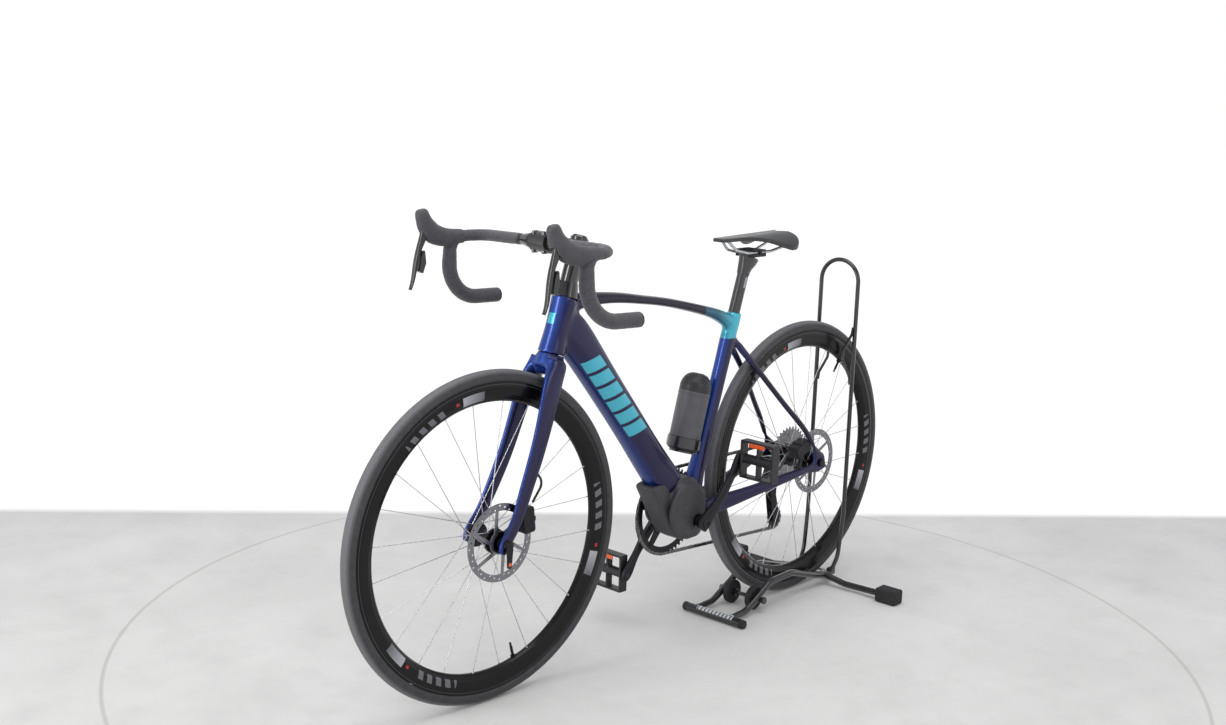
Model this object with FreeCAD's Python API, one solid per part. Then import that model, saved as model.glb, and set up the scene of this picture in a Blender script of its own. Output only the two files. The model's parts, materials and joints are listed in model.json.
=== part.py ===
import FreeCAD, Part
import math
import os

V = FreeCAD.Vector

# ---- driving dimensions, mm; x runs forward from the rear axle, y to the rider's left, z up ----
WHEELBASE = 1015.0
TYRE_R = 341.0
REAR_X = -WHEELBASE / 2.0
AXLE_Z = TYRE_R
TYRE_SECTION_R = 15.0
TYRE_WALL = 2.6
TYRE_RING_R = TYRE_R - TYRE_SECTION_R
RIM_TOP_R = 317.0
RIM_HALF_W = 12.5
RIM_DEPTH = 40.0
RIM_WALL = 2.0
SPOKES = 24
SPOKE_R = 0.9
SPOKE_SWING = 60.0
AXLE_R = 6.0
RUN_FIT = 0.05
GAP = 0.4
FRONT_HUB_HALF = 50.0
REAR_HUB_HALF = 71.0
FRONT_ROTOR_Y = 39.5
REAR_ROTOR_Y = 55.7
ROTOR_R = 80.0
ROTOR_T = 1.8

BB = (420.0, 269.0)
CRANK_LEN = 170.0
CRANK_DIR = (-0.545, 0.8385)
ARM_Y = 85.0
ARM_T = 13.0
SPINDLE_R = 12.0
PEDAL_Y = 140.0
PEDAL_W = 94.0
PEDAL_L = 88.0
PEDAL_T = 24.0
CHAIN_PITCH = 12.7
RING_TEETH = 50
RING_Y = -50.0
COG_TEETH = (11, 12, 13, 14, 15, 17, 19, 21, 24, 27, 30, 34)
CHAIN_COG = 3
COG_STEP = 3.65
COG_T = 1.6
JOCKEY_TEETH = 12
GUIDE_JOCKEY = (24.0, 262.0)
LOWER_JOCKEY = (8.0, 171.0)
CHAIN_HALF_H = 4.0
CHAIN_PLATE_IN = 1.3
CHAIN_PLATE_OUT = 2.4

HEAD_TILT = 17.5
HEAD_REF = (969.2, 326.6)
STEERER_R = 14.3
HEAD_TUBE_Z = (697.0, 810.0)
BAR_C = (877.0, 925.0)
LEVER_PIN = (1021.0, 929.0)
PADDLE_PIN = (1024.0, 893.0)
STEER = -2.5
STAND_YAW = 2.0
STAND_PIVOT_X = -90.0
BAR_R = 10.5
TAPE_R = 15.3
SEAT_AXIS = (269.6, 731.0)
SEAT_TILT = 17.2
POST_R = 13.6

HOOP_X = -149.0
HOOP_Y = 54.0
SADDLE_NOSE_Z = 904.5
SADDLE_TAIL_Z = 912.0
SADDLE_LOW = 850.0
SADDLE_ARCH_R = 104.0
SADDLE_THICK = 8.0
HOOP_TOP = 824.0
HOOP_R = 5.4
RAIL_R = 8.0
STAND_BAR_R = 10.5
BAR_ENDS = (-70.0, 86.0)
ROLLER_X = 196.0
ROLLER_R = 29.0
ROLLER_Y = (25.0, 40.0)

BOTTLE_LOW = (433.0, 428.0)
BOTTLE_TOP = (386.0, 604.0)
BOTTLE_R = 36.0

SECTION_POINTS = 16


# ---- helpers ----
def at(x, y, z):
    """Row point from a distance forward of the rear axle."""
    return V(REAR_X + x, y, z)


def unit(v):
    """Unit vector."""
    return V(v).normalize()


def head_axis(z):
    """Point of the steering axis at height z."""
    return at(HEAD_REF[0] - (z - HEAD_REF[1]) * math.tan(math.radians(HEAD_TILT)), 0, z)


def seat_axis(z):
    """Point of the seatpost axis at height z."""
    return at(SEAT_AXIS[0] - (z - SEAT_AXIS[1]) * math.tan(math.radians(SEAT_TILT)), 0, z)


def rod(a, b, r):
    """Round bar from a to b."""
    d = b.sub(a)
    return Part.makeCylinder(r, d.Length, a, d)


def taper(a, b, ra, rb):
    """Round bar from a to b whose radius changes."""
    d = b.sub(a)
    return Part.makeCone(ra, rb, d.Length, a, d)


def tube(a, b, r_out, r_in):
    """Hollow round bar."""
    d = unit(b.sub(a))
    return rod(a, b, r_out).cut(rod(a - d, b + d, r_in))


def fused(shapes):
    """One solid from touching shapes."""
    whole = shapes[0].multiFuse(shapes[1:]) if len(shapes) > 1 else shapes[0]
    return whole.removeSplitter()


def main_body(shape):
    """Largest solid left by a cut."""
    return sorted(shape.Solids, key=lambda s: s.Volume)[-1]


def group(shapes):
    """Several separate solids in one node."""
    return Part.makeCompound([s for shape in shapes for s in shape.Solids])


def mirrored(shape):
    """The same shape on the other side of the middle plane."""
    return shape.mirror(V(0, 0, 0), V(0, 1, 0))


def both(shape):
    """The shape and its mirror image."""
    return group([shape, mirrored(shape)])


def turned(cx, cz, outline, hole=None):
    """Solid turned about a Y axis from (y, radius) corners."""
    face = Part.Face(Part.makePolygon([V(cx, y, cz + r) for y, r in outline + [outline[0]]]))
    if hole:
        inner = Part.Face(Part.makePolygon([V(cx, y, cz + r) for y, r in hole + [hole[0]]]))
        face = face.cut(inner).Faces[0]
    solid = face.revolve(V(cx, 0, cz), V(0, 1, 0), 360)
    if solid.Volume < 0:
        solid.reverse()
    return solid


def bent_wire(points, bends):
    """Straight runs joined by tangent arcs."""
    edges = []
    start = points[0]
    for i in range(1, len(points) - 1):
        corner = points[i]
        back = unit(points[i - 1] - corner)
        ahead = unit(points[i + 1] - corner)
        half = math.acos(max(-1.0, min(1.0, back.dot(ahead)))) / 2.0
        reach = bends[i - 1] / math.tan(half)
        p = corner + back * reach
        q = corner + ahead * reach
        mid = corner + unit(back + ahead) * (bends[i - 1] / math.sin(half) - bends[i - 1])
        if (p - start).Length > 0.01:
            edges.append(Part.makeLine(start, p))
        edges.append(Part.Arc(p, mid, q).toShape())
        start = q
    edges.append(Part.makeLine(start, points[-1]))
    return Part.Wire(edges)


def pipe(wire, r):
    """Round section swept along a wire."""
    first = wire.Edges[0]
    start = first.valueAt(first.FirstParameter)
    along = first.tangentAt(first.FirstParameter)
    ring = Part.Wire(Part.makeCircle(r, start, along))
    return wire.makePipeShell([ring], True, False)


def bent_rod(points, bends, r):
    """Round bar bent along a path."""
    return pipe(bent_wire(points, bends), r)


def section(centre, normal, w, h, square=2.0, side=V(0, 1, 0)):
    """Closed rounded outline, w wide along side and h deep."""
    n = unit(normal)
    u = unit(side - n * side.dot(n))
    v = n.cross(u)
    points = []
    for k in range(SECTION_POINTS):
        a = 2.0 * math.pi * k / SECTION_POINTS
        c, s = math.cos(a), math.sin(a)
        pu = math.copysign(abs(c) ** (2.0 / square), c) * w / 2.0
        pv = math.copysign(abs(s) ** (2.0 / square), s) * h / 2.0
        points.append(centre + u * pu + v * pv)
    curve = Part.BSplineCurve()
    curve.interpolate(Points=points, PeriodicFlag=True, Parameters=list(range(SECTION_POINTS + 1)))
    return Part.Wire(curve.toShape())


def loft(stations, square=2.0):
    """Smooth body through (x, y, z, w, h) stations, cut square to its run."""
    centres = [at(s[0], s[1], s[2]) for s in stations]
    wires = []
    for i, s in enumerate(stations):
        ahead = centres[min(i + 1, len(centres) - 1)]
        behind = centres[max(i - 1, 0)]
        wires.append(section(centres[i], ahead - behind, s[3], s[4], square))
    solid = Part.makeLoft(wires, True, False)
    if solid.Volume < 0:
        solid.reverse()
    return solid


def plate(outline, y0, y1):
    """Flat plate between two y planes from rounded (x, z, radius) corners."""
    points = [at(p[0], y0, p[1]) for p in outline]
    edges = []
    n = len(points)
    joins = []
    for i in range(n):
        back = unit(points[i - 1] - points[i])
        ahead = unit(points[(i + 1) % n] - points[i])
        half = math.acos(max(-1.0, min(1.0, back.dot(ahead)))) / 2.0
        r = outline[i][2]
        reach = r / math.tan(half)
        mid = points[i] + unit(back + ahead) * (r / math.sin(half) - r)
        joins.append((points[i] + back * reach, mid, points[i] + ahead * reach))
    for i in range(n):
        p, mid, q = joins[i]
        edges.append(Part.Arc(p, mid, q).toShape())
        following = joins[(i + 1) % n][0]
        if (following - q).Length > 0.01:
            edges.append(Part.makeLine(q, following))
    return Part.Face(Part.Wire(edges)).extrude(V(0, y1 - y0, 0))


def disc(cx, cz, y0, y1, r, bore=0.0):
    """Disc about a Y axis, x forward of the rear axle."""
    solid = rod(at(cx, y0, cz), at(cx, y1, cz), r)
    if bore:
        solid = solid.cut(rod(at(cx, y0 - 1, cz), at(cx, y1 + 1, cz), bore))
    return solid


def pitch_radius(teeth):
    """Sprocket radius to the middle of the chain's pins."""
    return CHAIN_PITCH / (2.0 * math.sin(math.pi / teeth))


def sprocket(cx, cz, y, teeth, bore):
    """Toothed plate centred on plane y."""
    r = pitch_radius(teeth)
    points = []
    for k in range(teeth):
        for part, rr in ((-0.34, r - 3.6), (-0.12, r + 3.4), (0.12, r + 3.4), (0.34, r - 3.6)):
            a = 2.0 * math.pi * (k + 0.5 + part) / teeth
            points.append(at(cx + rr * math.cos(a), y - COG_T / 2, cz + rr * math.sin(a)))
    points.append(points[0])
    blank = Part.Face(Part.makePolygon(points)).extrude(V(0, COG_T, 0))
    return blank.cut(disc(cx, cz, y - 5, y + 5, bore))


def steered(shape):
    """Turn a steering part to the bar's resting angle."""
    d = unit(head_axis(800) - head_axis(700))
    turned_shape = shape.copy()
    turned_shape.rotate(head_axis(700), d, STEER)
    return turned_shape


def yawed(shape):
    """Turn a stand part to the stand's slight angle under the bike."""
    turned_shape = shape.copy()
    turned_shape.rotate(at(STAND_PIVOT_X, 0, 0), V(0, 0, 1), STAND_YAW)
    return turned_shape


# ---- wheels ----
def tyre(cx):
    """Hollow tyre open towards the rim."""
    mid = V(cx, 0, AXLE_Z)
    body = Part.makeTorus(TYRE_RING_R, TYRE_SECTION_R, mid, V(0, 1, 0))
    body = body.cut(Part.makeTorus(TYRE_RING_R, TYRE_SECTION_R - TYRE_WALL, mid, V(0, 1, 0)))
    return body.cut(rod(V(cx, -30, AXLE_Z), V(cx, 30, AXLE_Z), RIM_TOP_R))


def rim(cx):
    """Deep hollow rim with the valve stem."""
    base = RIM_TOP_R - RIM_DEPTH
    outer = [(-RIM_HALF_W, RIM_TOP_R), (-RIM_HALF_W - 0.9, RIM_TOP_R - 9), (-RIM_HALF_W + 0.8, base + 14),
             (-7.5, base + 4), (-3.5, base + 0.6), (0, base), (3.5, base + 0.6), (7.5, base + 4),
             (RIM_HALF_W - 0.8, base + 14), (RIM_HALF_W + 0.9, RIM_TOP_R - 9), (RIM_HALF_W, RIM_TOP_R),
             (9.5, RIM_TOP_R), (8.0, RIM_TOP_R - 5), (-8.0, RIM_TOP_R - 5), (-9.5, RIM_TOP_R)]
    inner = [(-RIM_HALF_W + 1.2, RIM_TOP_R - 8.5), (-RIM_HALF_W + 2.9, base + 14.5), (-6.5, base + 6),
             (0, base + RIM_WALL + 0.4), (6.5, base + 6), (RIM_HALF_W - 2.9, base + 14.5),
             (RIM_HALF_W - 1.2, RIM_TOP_R - 8.5), (7.5, RIM_TOP_R - 7.5), (-7.5, RIM_TOP_R - 7.5)]
    return turned(cx, AXLE_Z, outer, inner)


def valve(cx, angle):
    """Valve stem standing in from the rim towards the hub."""
    d = V(math.cos(angle), 0, math.sin(angle))
    mid = V(cx, 0, AXLE_Z)
    base = RIM_TOP_R - RIM_DEPTH
    stem = rod(mid + d * (base - 24), mid + d * (base + 1.5), 3.0)
    cap = rod(mid + d * (base - 33), mid + d * (base - 24), 2.3)
    nut = rod(mid + d * (base - 3.5), mid + d * (base + 0.5), 5.5)
    return fused([stem, cap, nut])


def spokes(cx, left, right, hole_r):
    """Crossed spokes between the hub flanges and the rim."""
    out = []
    for k in range(SPOKES):
        phi = 2.0 * math.pi * (k + 0.5) / SPOKES
        swing = math.radians(SPOKE_SWING) * (1 if (k // 2) % 2 == 0 else -1)
        flange = left if k % 2 == 0 else right
        lift = 1.8 if swing > 0 else -1.8
        rim_y = 2.0 if k % 2 == 0 else -2.0
        a = V(cx + hole_r * math.cos(phi + swing), flange + lift, AXLE_Z + hole_r * math.sin(phi + swing))
        rr = RIM_TOP_R - RIM_DEPTH + 3.0
        b = V(cx + rr * math.cos(phi), rim_y, AXLE_Z + rr * math.sin(phi))
        d = unit(b - a)
        out.append(fused([rod(a, b, SPOKE_R), rod(b - d * 5, b, 1.8)]))
    return group(out)


def hub(cx, half_left, half_right, left, right, flange_r, body_r):
    """Hub shell with two flanges, bored for the axle."""
    bore = AXLE_R + RUN_FIT
    ledge = max(right - 8, -half_right + 0.1)
    outline = [(-half_right, bore), (-half_right, 10.5), (ledge, 10.5), (ledge + 0.2, 14), (right - 3.4, 15),
               (right - 3.2, flange_r), (right + 3.2, flange_r), (right + 3.6, body_r + 3), (right + 12, body_r),
               (left - 12, body_r), (left - 3.6, body_r + 3), (left - 3.2, flange_r), (left + 3.2, flange_r),
               (left + 3.4, 17), (left + 12, 17), (left + 12.2, 10.5), (half_left, 10.5), (half_left, bore)]
    return turned(cx, AXLE_Z, outline)


def rotor(cx, y):
    """Slotted brake disc on a spider with its lock ring."""
    mid = V(cx, y, AXLE_Z)
    band = rod(V(cx, y - ROTOR_T / 2, AXLE_Z), V(cx, y + ROTOR_T / 2, AXLE_Z), ROTOR_R)
    band = band.cut(rod(V(cx, y - 5, AXLE_Z), V(cx, y + 5, AXLE_Z), ROTOR_R - 15))
    holes = []
    for k in range(36):
        a = 2.0 * math.pi * k / 36
        rr = ROTOR_R - (4.5, 8.0, 11.5)[k % 3]
        c = mid + V(rr * math.cos(a), 0, rr * math.sin(a))
        holes.append(rod(c + V(0, -5, 0), c + V(0, 5, 0), 2.2))
    band = band.cut(Part.makeCompound(holes))
    centre = rod(V(cx, y - 1.2, AXLE_Z), V(cx, y + 1.2, AXLE_Z), 24)
    arms = []
    for k in range(6):
        a = 2.0 * math.pi * k / 6
        b = a + 0.42
        p = mid + V(20 * math.cos(a), -1, 20 * math.sin(a))
        q = mid + V((ROTOR_R - 13) * math.cos(b), -1, (ROTOR_R - 13) * math.sin(b))
        d = unit(q - p)
        w = d.cross(V(0, 1, 0)) * 4.0
        loop = Part.makePolygon([p + w, q + w * 0.8, q - w * 0.8, p - w, p + w])
        arms.append(Part.Face(loop).extrude(V(0, 2, 0)))
    lock = rod(V(cx, y - 1.2, AXLE_Z), V(cx, y + 4.5, AXLE_Z), 20)
    whole = fused([centre, band] + arms + [lock])
    return whole.cut(rod(V(cx, y - 9, AXLE_Z), V(cx, y + 9, AXLE_Z), 10.5))


# ---- stand ----
def stand_hoop():
    """Inverted U with its two wheel guide rods."""
    foot = at(-112, HOOP_Y - 6, 20)
    low = at(-138, HOOP_Y - 2, 62)
    leg = at(HOOP_X, HOOP_Y, 170)
    points = [foot, low, leg, at(HOOP_X, HOOP_Y, HOOP_TOP), at(HOOP_X, -HOOP_Y, HOOP_TOP),
              V(leg.x, -leg.y, leg.z), V(low.x, -low.y, low.z), V(foot.x, -foot.y, foot.z)]
    hoop = bent_rod(points, (60, 200, HOOP_Y - 0.5, HOOP_Y - 0.5, 200, 60), HOOP_R)
    inner = HOOP_Y - HOOP_R - 1
    rod_points = [at(HOOP_X, inner, 658), at(HOOP_X, inner - 2, 640), at(HOOP_X, 22, 596),
                  at(HOOP_X, 22, 574), at(HOOP_X, inner - 2, 530), at(HOOP_X, inner, 512)]
    guide = bent_rod(rod_points, (14, 18, 18, 14), 3.5)
    weld_top = rod(at(HOOP_X, inner - 1, 652), at(HOOP_X, HOOP_Y - 3, 652), 3.0)
    weld_low = rod(at(HOOP_X, inner - 1, 518), at(HOOP_X, HOOP_Y - 3, 518), 3.0)
    left = fused([guide, weld_top, weld_low])
    return fused([hoop, left, mirrored(left)])


def outrigger():
    """Left arm out to the rear foot."""
    return bent_rod([at(-86, 48, 26), at(-88, 110, 15), at(-90, 236, 17)], (80,), 8.0)


def stand_base():
    """Side rails with the outriggers that carry the rear feet."""
    rail = bent_rod([at(-112, 48, 20), at(-42, 48, 34), at(64, 49, 66), at(152, 49, 64), at(250, 50, 13),
                     at(317, 50, STAND_BAR_R)], (80, 80, 40, 50), RAIL_R)
    arm = outrigger()
    left = fused([rail, arm])
    return both(left)


def stand_bar():
    """Round bar across the front of the stand."""
    y0, y1 = BAR_ENDS
    bar = tube(at(317.5, y0, STAND_BAR_R), at(317.5, y1, STAND_BAR_R), STAND_BAR_R, 8.0)
    return bar.cut(stand_base())


def stand_feet():
    """Rubber feet of the outriggers and end caps of the front bar."""
    foot = Part.makeBox(40, 58, 36, at(-110, 207, 0))
    foot = foot.makeFillet(6, foot.Edges)
    foot = foot.cut(outrigger())
    caps = []
    for y, out in ((BAR_ENDS[0], -1), (BAR_ENDS[1], 1)):
        cap = rod(at(317.5, y, STAND_BAR_R), at(317.5, y + out * 12, STAND_BAR_R), STAND_BAR_R)
        caps.append(cap.makeFillet(3, [e for e in cap.Edges if abs(e.CenterOfMass.y - y - out * 12) < 0.1]))
    return group([foot, mirrored(foot)] + caps)


def stand_ties():
    """Pierced tie plate behind the tyre and the roller axle with its nuts."""
    sheet = Part.makeBox(34, 84, 4, at(-146, -42, 12))
    sheet = sheet.cut(rod(at(-129, 0, 5), at(-129, 0, 25), 11))
    ears = [Part.makeBox(34, 4, 22, at(-146, 38, 12)), Part.makeBox(34, 4, 22, at(-146, -42, 12))]
    axle = rod(at(ROLLER_X, -66, 30), at(ROLLER_X, 66, 30), 5.0)
    nut = rod(at(ROLLER_X, 60, 30), at(ROLLER_X, 66, 30), 8.5)
    stop = rod(at(ROLLER_X, 18, 30), at(ROLLER_X, 24.6, 30), 9.0)
    shaft = fused([axle, nut, mirrored(nut), stop, mirrored(stop)])
    whole = group([fused([sheet] + ears), shaft])
    return whole.cut(stand_base()).cut(stand_hoop())


def stand_roller():
    """Rubber roller on the left of the roller axle."""
    y0, y1 = ROLLER_Y
    body = disc(ROLLER_X, 30, y0, y1, ROLLER_R)
    body = body.makeFillet(4, [e for e in body.Edges if e.Length > 100 and len(e.Vertexes) == 1])
    return body.cut(disc(ROLLER_X, 30, y0 - 1, y1 + 1, 5.0 + RUN_FIT))


# ---- frame ----
def head_tube():
    """Head tube bored for the steerer and its two bearings."""
    z0, z1 = HEAD_TUBE_Z
    a, b = head_axis(z0), head_axis(z1)
    d = unit(b - a)
    waist = (a + b) * 0.5
    wires = []
    for p, r in ((a, 29.0), (a + d * 12, 28.0), (waist, 25.5), (b - d * 12, 27.0), (b, 27.5)):
        wires.append(section(p, d, 2 * r, 2 * r))
    body = Part.makeLoft(wires, True, False)
    body = body.cut(rod(a - d * 5, b + d * 5, 17.5))
    body = body.cut(rod(a - d * 5, a + d * 9, 22.0))
    return body.cut(rod(b - d * 9, b + d * 5, 22.0))


def headset():
    """Two steering bearings in the head tube."""
    z0, z1 = HEAD_TUBE_Z
    a, b = head_axis(z0), head_axis(z1)
    d = unit(b - a)
    low = tube(a + d * 1, a + d * 9, 22.0, STEERER_R + RUN_FIT)
    high = tube(b - d * 9, b - d * 1, 22.0, STEERER_R + RUN_FIT)
    return group([low, high])


def head_core():
    """Space kept free for the steering parts."""
    return rod(head_axis(640), head_axis(860), 25.0)


def down_tube():
    """Wide battery tube from the head to the motor."""
    body = loft([(838, 0, 761, 44, 88), (800, 0, 733, 52, 87), (752, 0, 680, 58, 80), (690, 0, 605, 60, 75),
                 (610, 0, 508, 60, 74), (560, 0, 446, 60, 76), (520, 0, 398, 60, 80), (484, 0, 356, 60, 84)], 2.6)
    body = body.cut(head_core()).cut(motor_unit()).cut(head_tube())
    return main_body(body.cut(motor_covers()).cut(top_tube()))


def top_tube():
    """Slim arched tube from the head to the seat cluster."""
    body = loft([(838, 0, 783, 38, 44), (806, 0, 794, 38, 40), (766, 0, 799, 38, 32), (690, 0, 798, 38, 24),
                 (592, 0, 786, 38, 20), (490, 0, 769, 38, 20), (391, 0, 746, 36, 22), (330, 0, 728, 33, 27),
                 (288, 0, 706, 30, 36)], 2.4)
    body = main_body(body.cut(head_core()).cut(head_tube()))
    body = main_body(body.cut(rod(head_axis(809.5), head_axis(870), 29)))
    body = main_body(body.cut(seat_tube()))
    return main_body(body.cut(rod(seat_axis(600), seat_axis(800), POST_R + RUN_FIT)))


def seat_tube():
    """Seat tube with the seatpost socket."""
    stations = []
    for z, w, h in ((330, 48, 46), (380, 38, 38), (450, 33, 35), (560, 33, 35), (660, 34, 37), (700, 35, 38),
                    (730, 34, 36)):
        p = seat_axis(z)
        stations.append((p.x - REAR_X, 0, z, w, h))
    body = loft(stations, 2.2)
    bore_end = seat_axis(520)
    body = body.cut(rod(bore_end, seat_axis(790), POST_R + RUN_FIT))
    return main_body(body.cut(motor_unit()))


def dropout(sign):
    """Rear dropout plate with its axle boss."""
    y0 = REAR_HUB_HALF + GAP
    outline = [(-24, 326, 6), (-14, 362, 8), (16, 384, 5), (34, 372, 5), (24, 346, 8), (52, 338, 4),
               (50, 322, 4), (6, 318, 10)]
    if sign > 0:
        return plate(outline, y0, y0 + 7).cut(disc(0, AXLE_Z, 60, 90, AXLE_R))
    return plate(outline, -y0 - 7, -y0).cut(disc(0, AXLE_Z, -90, -60, AXLE_R))


def chainstays():
    """Two chainstays from the motor to the dropouts."""
    left = loft([(386, 33, 288, 16, 44), (318, 42, 296, 17, 40), (230, 55, 308, 17, 30), (140, 67, 321, 16, 24),
                 (70, 73, 329, 12, 18), (30, 75, 333, 7, 16)], 2.6)
    right = loft([(386, -32, 288, 16, 40), (330, -33, 294, 16, 34), (230, -46, 308, 17, 28), (140, -62, 321, 16, 24),
                  (84, -72, 328, 11, 18), (30, -75, 333, 7, 16)], 2.6)
    drop_left, drop_right = dropout(1), dropout(-1)
    sides = [fused([left, drop_left]), fused([right, drop_right])]
    return group([main_body(s.cut(motor_unit()).cut(motor_covers())) for s in sides])


def seatstays():
    """Two seatstays from the seat tube to the dropouts."""
    left = loft([(276, 10, 664, 12, 22), (216, 22, 604, 12, 16), (160, 36, 543, 12, 14), (102, 54, 478, 12, 14),
                 (54, 68.5, 424, 11, 14), (31, 74, 392, 8, 14), (10, 74.8, 362, 6.6, 14)], 2.2)
    tube_cut = seat_tube()
    core = rod(seat_axis(500), seat_axis(800), POST_R + 3)
    left = main_body(left.cut(core).cut(tube_cut).cut(chainstays()))
    return both(left)


def motor_unit():
    """Drive unit round the crank axle."""
    outline = [(376, 262, 24), (396, 226, 24), (452, 224, 30), (488, 270, 24), (502, 330, 18), (472, 374, 18),
               (424, 370, 22), (380, 330, 24)]
    body = plate(outline, -34, 34)
    body = body.makeFillet(5, [e for e in body.Edges if abs(e.CenterOfMass.y) > 33.9])
    return body.cut(disc(BB[0], BB[1], -60, 60, SPINDLE_R + RUN_FIT))


def motor_covers():
    """Round covers on both sides of the drive unit."""
    left = disc(452, 302, 34, 46, 60)
    left = left.makeFillet(4, [e for e in left.Edges if e.CenterOfMass.y > 45.9])
    left = left.cut(disc(BB[0], BB[1], 30, 60, SPINDLE_R + 3))
    right = disc(452, 302, -42, -34, 58)
    right = right.makeFillet(3, [e for e in right.Edges if e.CenterOfMass.y < -41.9])
    right = right.cut(disc(BB[0], BB[1], -60, -30, SPINDLE_R + 3))
    return group([left, right])


def motor_shroud():
    """Matt guard under the drive unit and the foot of the down tube."""
    outline = [(440, 218, 8), (482, 240, 18), (522, 302, 24), (560, 364, 8), (520, 372, 8), (470, 330, 10)]
    body = plate(outline, -30, 30)
    body = body.makeFillet(7, [e for e in body.Edges if abs(e.CenterOfMass.y) > 29.9])
    return main_body(body.cut(motor_unit()).cut(down_tube()).cut(motor_covers()))


def rear_axle():
    """Rear thru axle with its end lever."""
    shaft = rod(at(0, -82, AXLE_Z), at(0, 80, AXLE_Z), AXLE_R)
    head = rod(at(0, 79, AXLE_Z), at(0, 84, AXLE_Z), 9.5)
    return fused([shaft, head])


def caliper(cx, cz, rotor_y, angle, span, feet):
    """Disc brake caliper straddling the rotor."""
    y0 = rotor_y - 16
    body = Part.makeBox(54, 32, 30, V(-27, y0, -15))
    body = body.makeFillet(6, [e for e in body.Edges if abs(e.Vertexes[0].Y - e.Vertexes[-1].Y) > 1])
    port = Part.makeBox(10, 30, 3.6, V(-5, rotor_y - 15, 13))
    body = body.makeFillet(3, [e for e in body.Edges if e.Length > 20 and abs(e.CenterOfMass.y - rotor_y) > 15])
    body.rotate(V(0, 0, 0), V(0, 1, 0), -math.degrees(angle) + span)
    port.rotate(V(0, 0, 0), V(0, 1, 0), -math.degrees(angle) + span)
    shift = V(REAR_X + cx + 74 * math.cos(angle), 0, cz + 74 * math.sin(angle))
    body.translate(shift)
    port.translate(shift)
    body = fused([body, port] + feet)
    return body.cut(disc(cx, cz, rotor_y - 2.2, rotor_y + 2.2, ROTOR_R + 3))


def rear_caliper():
    """Rear caliper between the left stays."""
    angle = math.radians(34)
    feet = [rod(at(96, 62, 372), at(104, 68, 334), 5.5), rod(at(52, 62, 392), at(76, 68, 334), 5.0)]
    return main_body(caliper(0, AXLE_Z, REAR_ROTOR_Y, angle, 56, feet).cut(chainstays()).cut(seatstays()))


def rear_hose():
    """Brake hose and shift wire from the frame to the rear."""
    brake = bent_rod([at(214, 59, 330), at(150, 68, 350), at(112, 62, 384)], (30,), 2.5)
    return brake


def bottle_frame():
    """Axis start and direction of the bottle battery."""
    low, top = at(BOTTLE_LOW[0], 0, BOTTLE_LOW[1]), at(BOTTLE_TOP[0], 0, BOTTLE_TOP[1])
    return low, unit(top - low)


def bottle():
    """Range-extending battery with a domed cap."""
    low, d = bottle_frame()
    body = rod(low, low + d * 148, BOTTLE_R)
    body = body.makeFillet(7, [e for e in body.Edges if (e.CenterOfMass - low).Length < 2])
    wires = []
    for s, r in ((148, BOTTLE_R), (156, BOTTLE_R - 1.5), (166, BOTTLE_R - 6), (174, BOTTLE_R - 14), (178, BOTTLE_R - 24)):
        p = low + d * s
        wires.append(Part.Wire(Part.makeCircle(r, p, d)))
    dome = Part.makeLoft(wires, True, True)
    neck = rod(low + d * 30, low + d * 33, BOTTLE_R + 0.8)
    band = rod(low + d * 128, low + d * 131, BOTTLE_R + 0.8)
    return fused([body, dome, neck, band])


def bottle_cage():
    """Cradle that holds the bottle battery to the seat tube."""
    low, d = bottle_frame()
    shell = tube(low + d * 6, low + d * 30 - d * GAP * 2, BOTTLE_R + 3.5, BOTTLE_R + GAP)
    floor_plate = rod(low - d * 5, low - d * GAP, BOTTLE_R - 6)
    out = V(-d.z, 0, d.x)
    back_low = low + out * (BOTTLE_R + 2)
    strut = Part.makeBox(6, 20, 92, V(0, -10, 0))
    strut.rotate(V(0, 0, 0), V(0, 1, 0), -math.degrees(math.atan2(-d.x, d.z)))
    strut.translate(back_low + out * (4.0) - d * 5)
    arm = Part.makeBox(BOTTLE_R + 8, 22, 4, V(-BOTTLE_R - 8, -11, -5))
    arm.rotate(V(0, 0, 0), V(0, 1, 0), -math.degrees(math.atan2(-d.x, d.z)))
    arm.translate(low)
    whole = fused([shell, strut, floor_plate, arm])
    return whole.cut(rod(low - d * GAP, low + d * 200, BOTTLE_R + 0.8 + GAP))


# ---- drivetrain ----
def chain_wheels():
    """Chain wheels in running order: centre, pitch radius and turning sense."""
    return [(BB, pitch_radius(RING_TEETH), -1), (LOWER_JOCKEY, pitch_radius(JOCKEY_TEETH), -1),
            (GUIDE_JOCKEY, pitch_radius(JOCKEY_TEETH), 1), ((0.0, AXLE_Z), pitch_radius(COG_TEETH[CHAIN_COG]), -1)]


def chain_loop(offset, y):
    """Closed wire beside the chain's pitch line."""
    wheels = chain_wheels()
    n = len(wheels)
    dirs = []
    for i in range(n):
        (c1, r1, s1), (c2, r2, s2) = wheels[i], wheels[(i + 1) % n]
        dx, dz = c2[0] - c1[0], c2[1] - c1[1]
        dirs.append(math.atan2(dz, dx) - math.asin((s2 * r2 - s1 * r1) / math.hypot(dx, dz)))
    edges = []
    for i in range(n):
        c, r, s = wheels[i]
        rr = r - s * offset
        a_in = dirs[i - 1] - s * math.pi / 2
        a_out = dirs[i] - s * math.pi / 2
        sweep = (s * (a_out - a_in)) % (2 * math.pi)
        a_mid = a_in + s * sweep / 2
        p, m, q = [at(c[0] + rr * math.cos(a), y, c[1] + rr * math.sin(a)) for a in (a_in, a_mid, a_out)]
        edges.append(Part.Arc(p, m, q).toShape())
        c2, r2, s2 = wheels[(i + 1) % n]
        rr2 = r2 - s2 * offset
        a2 = dirs[i] - s2 * math.pi / 2
        edges.append(Part.makeLine(q, at(c2[0] + rr2 * math.cos(a2), y, c2[1] + rr2 * math.sin(a2))))
    return Part.Wire(edges)


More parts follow.
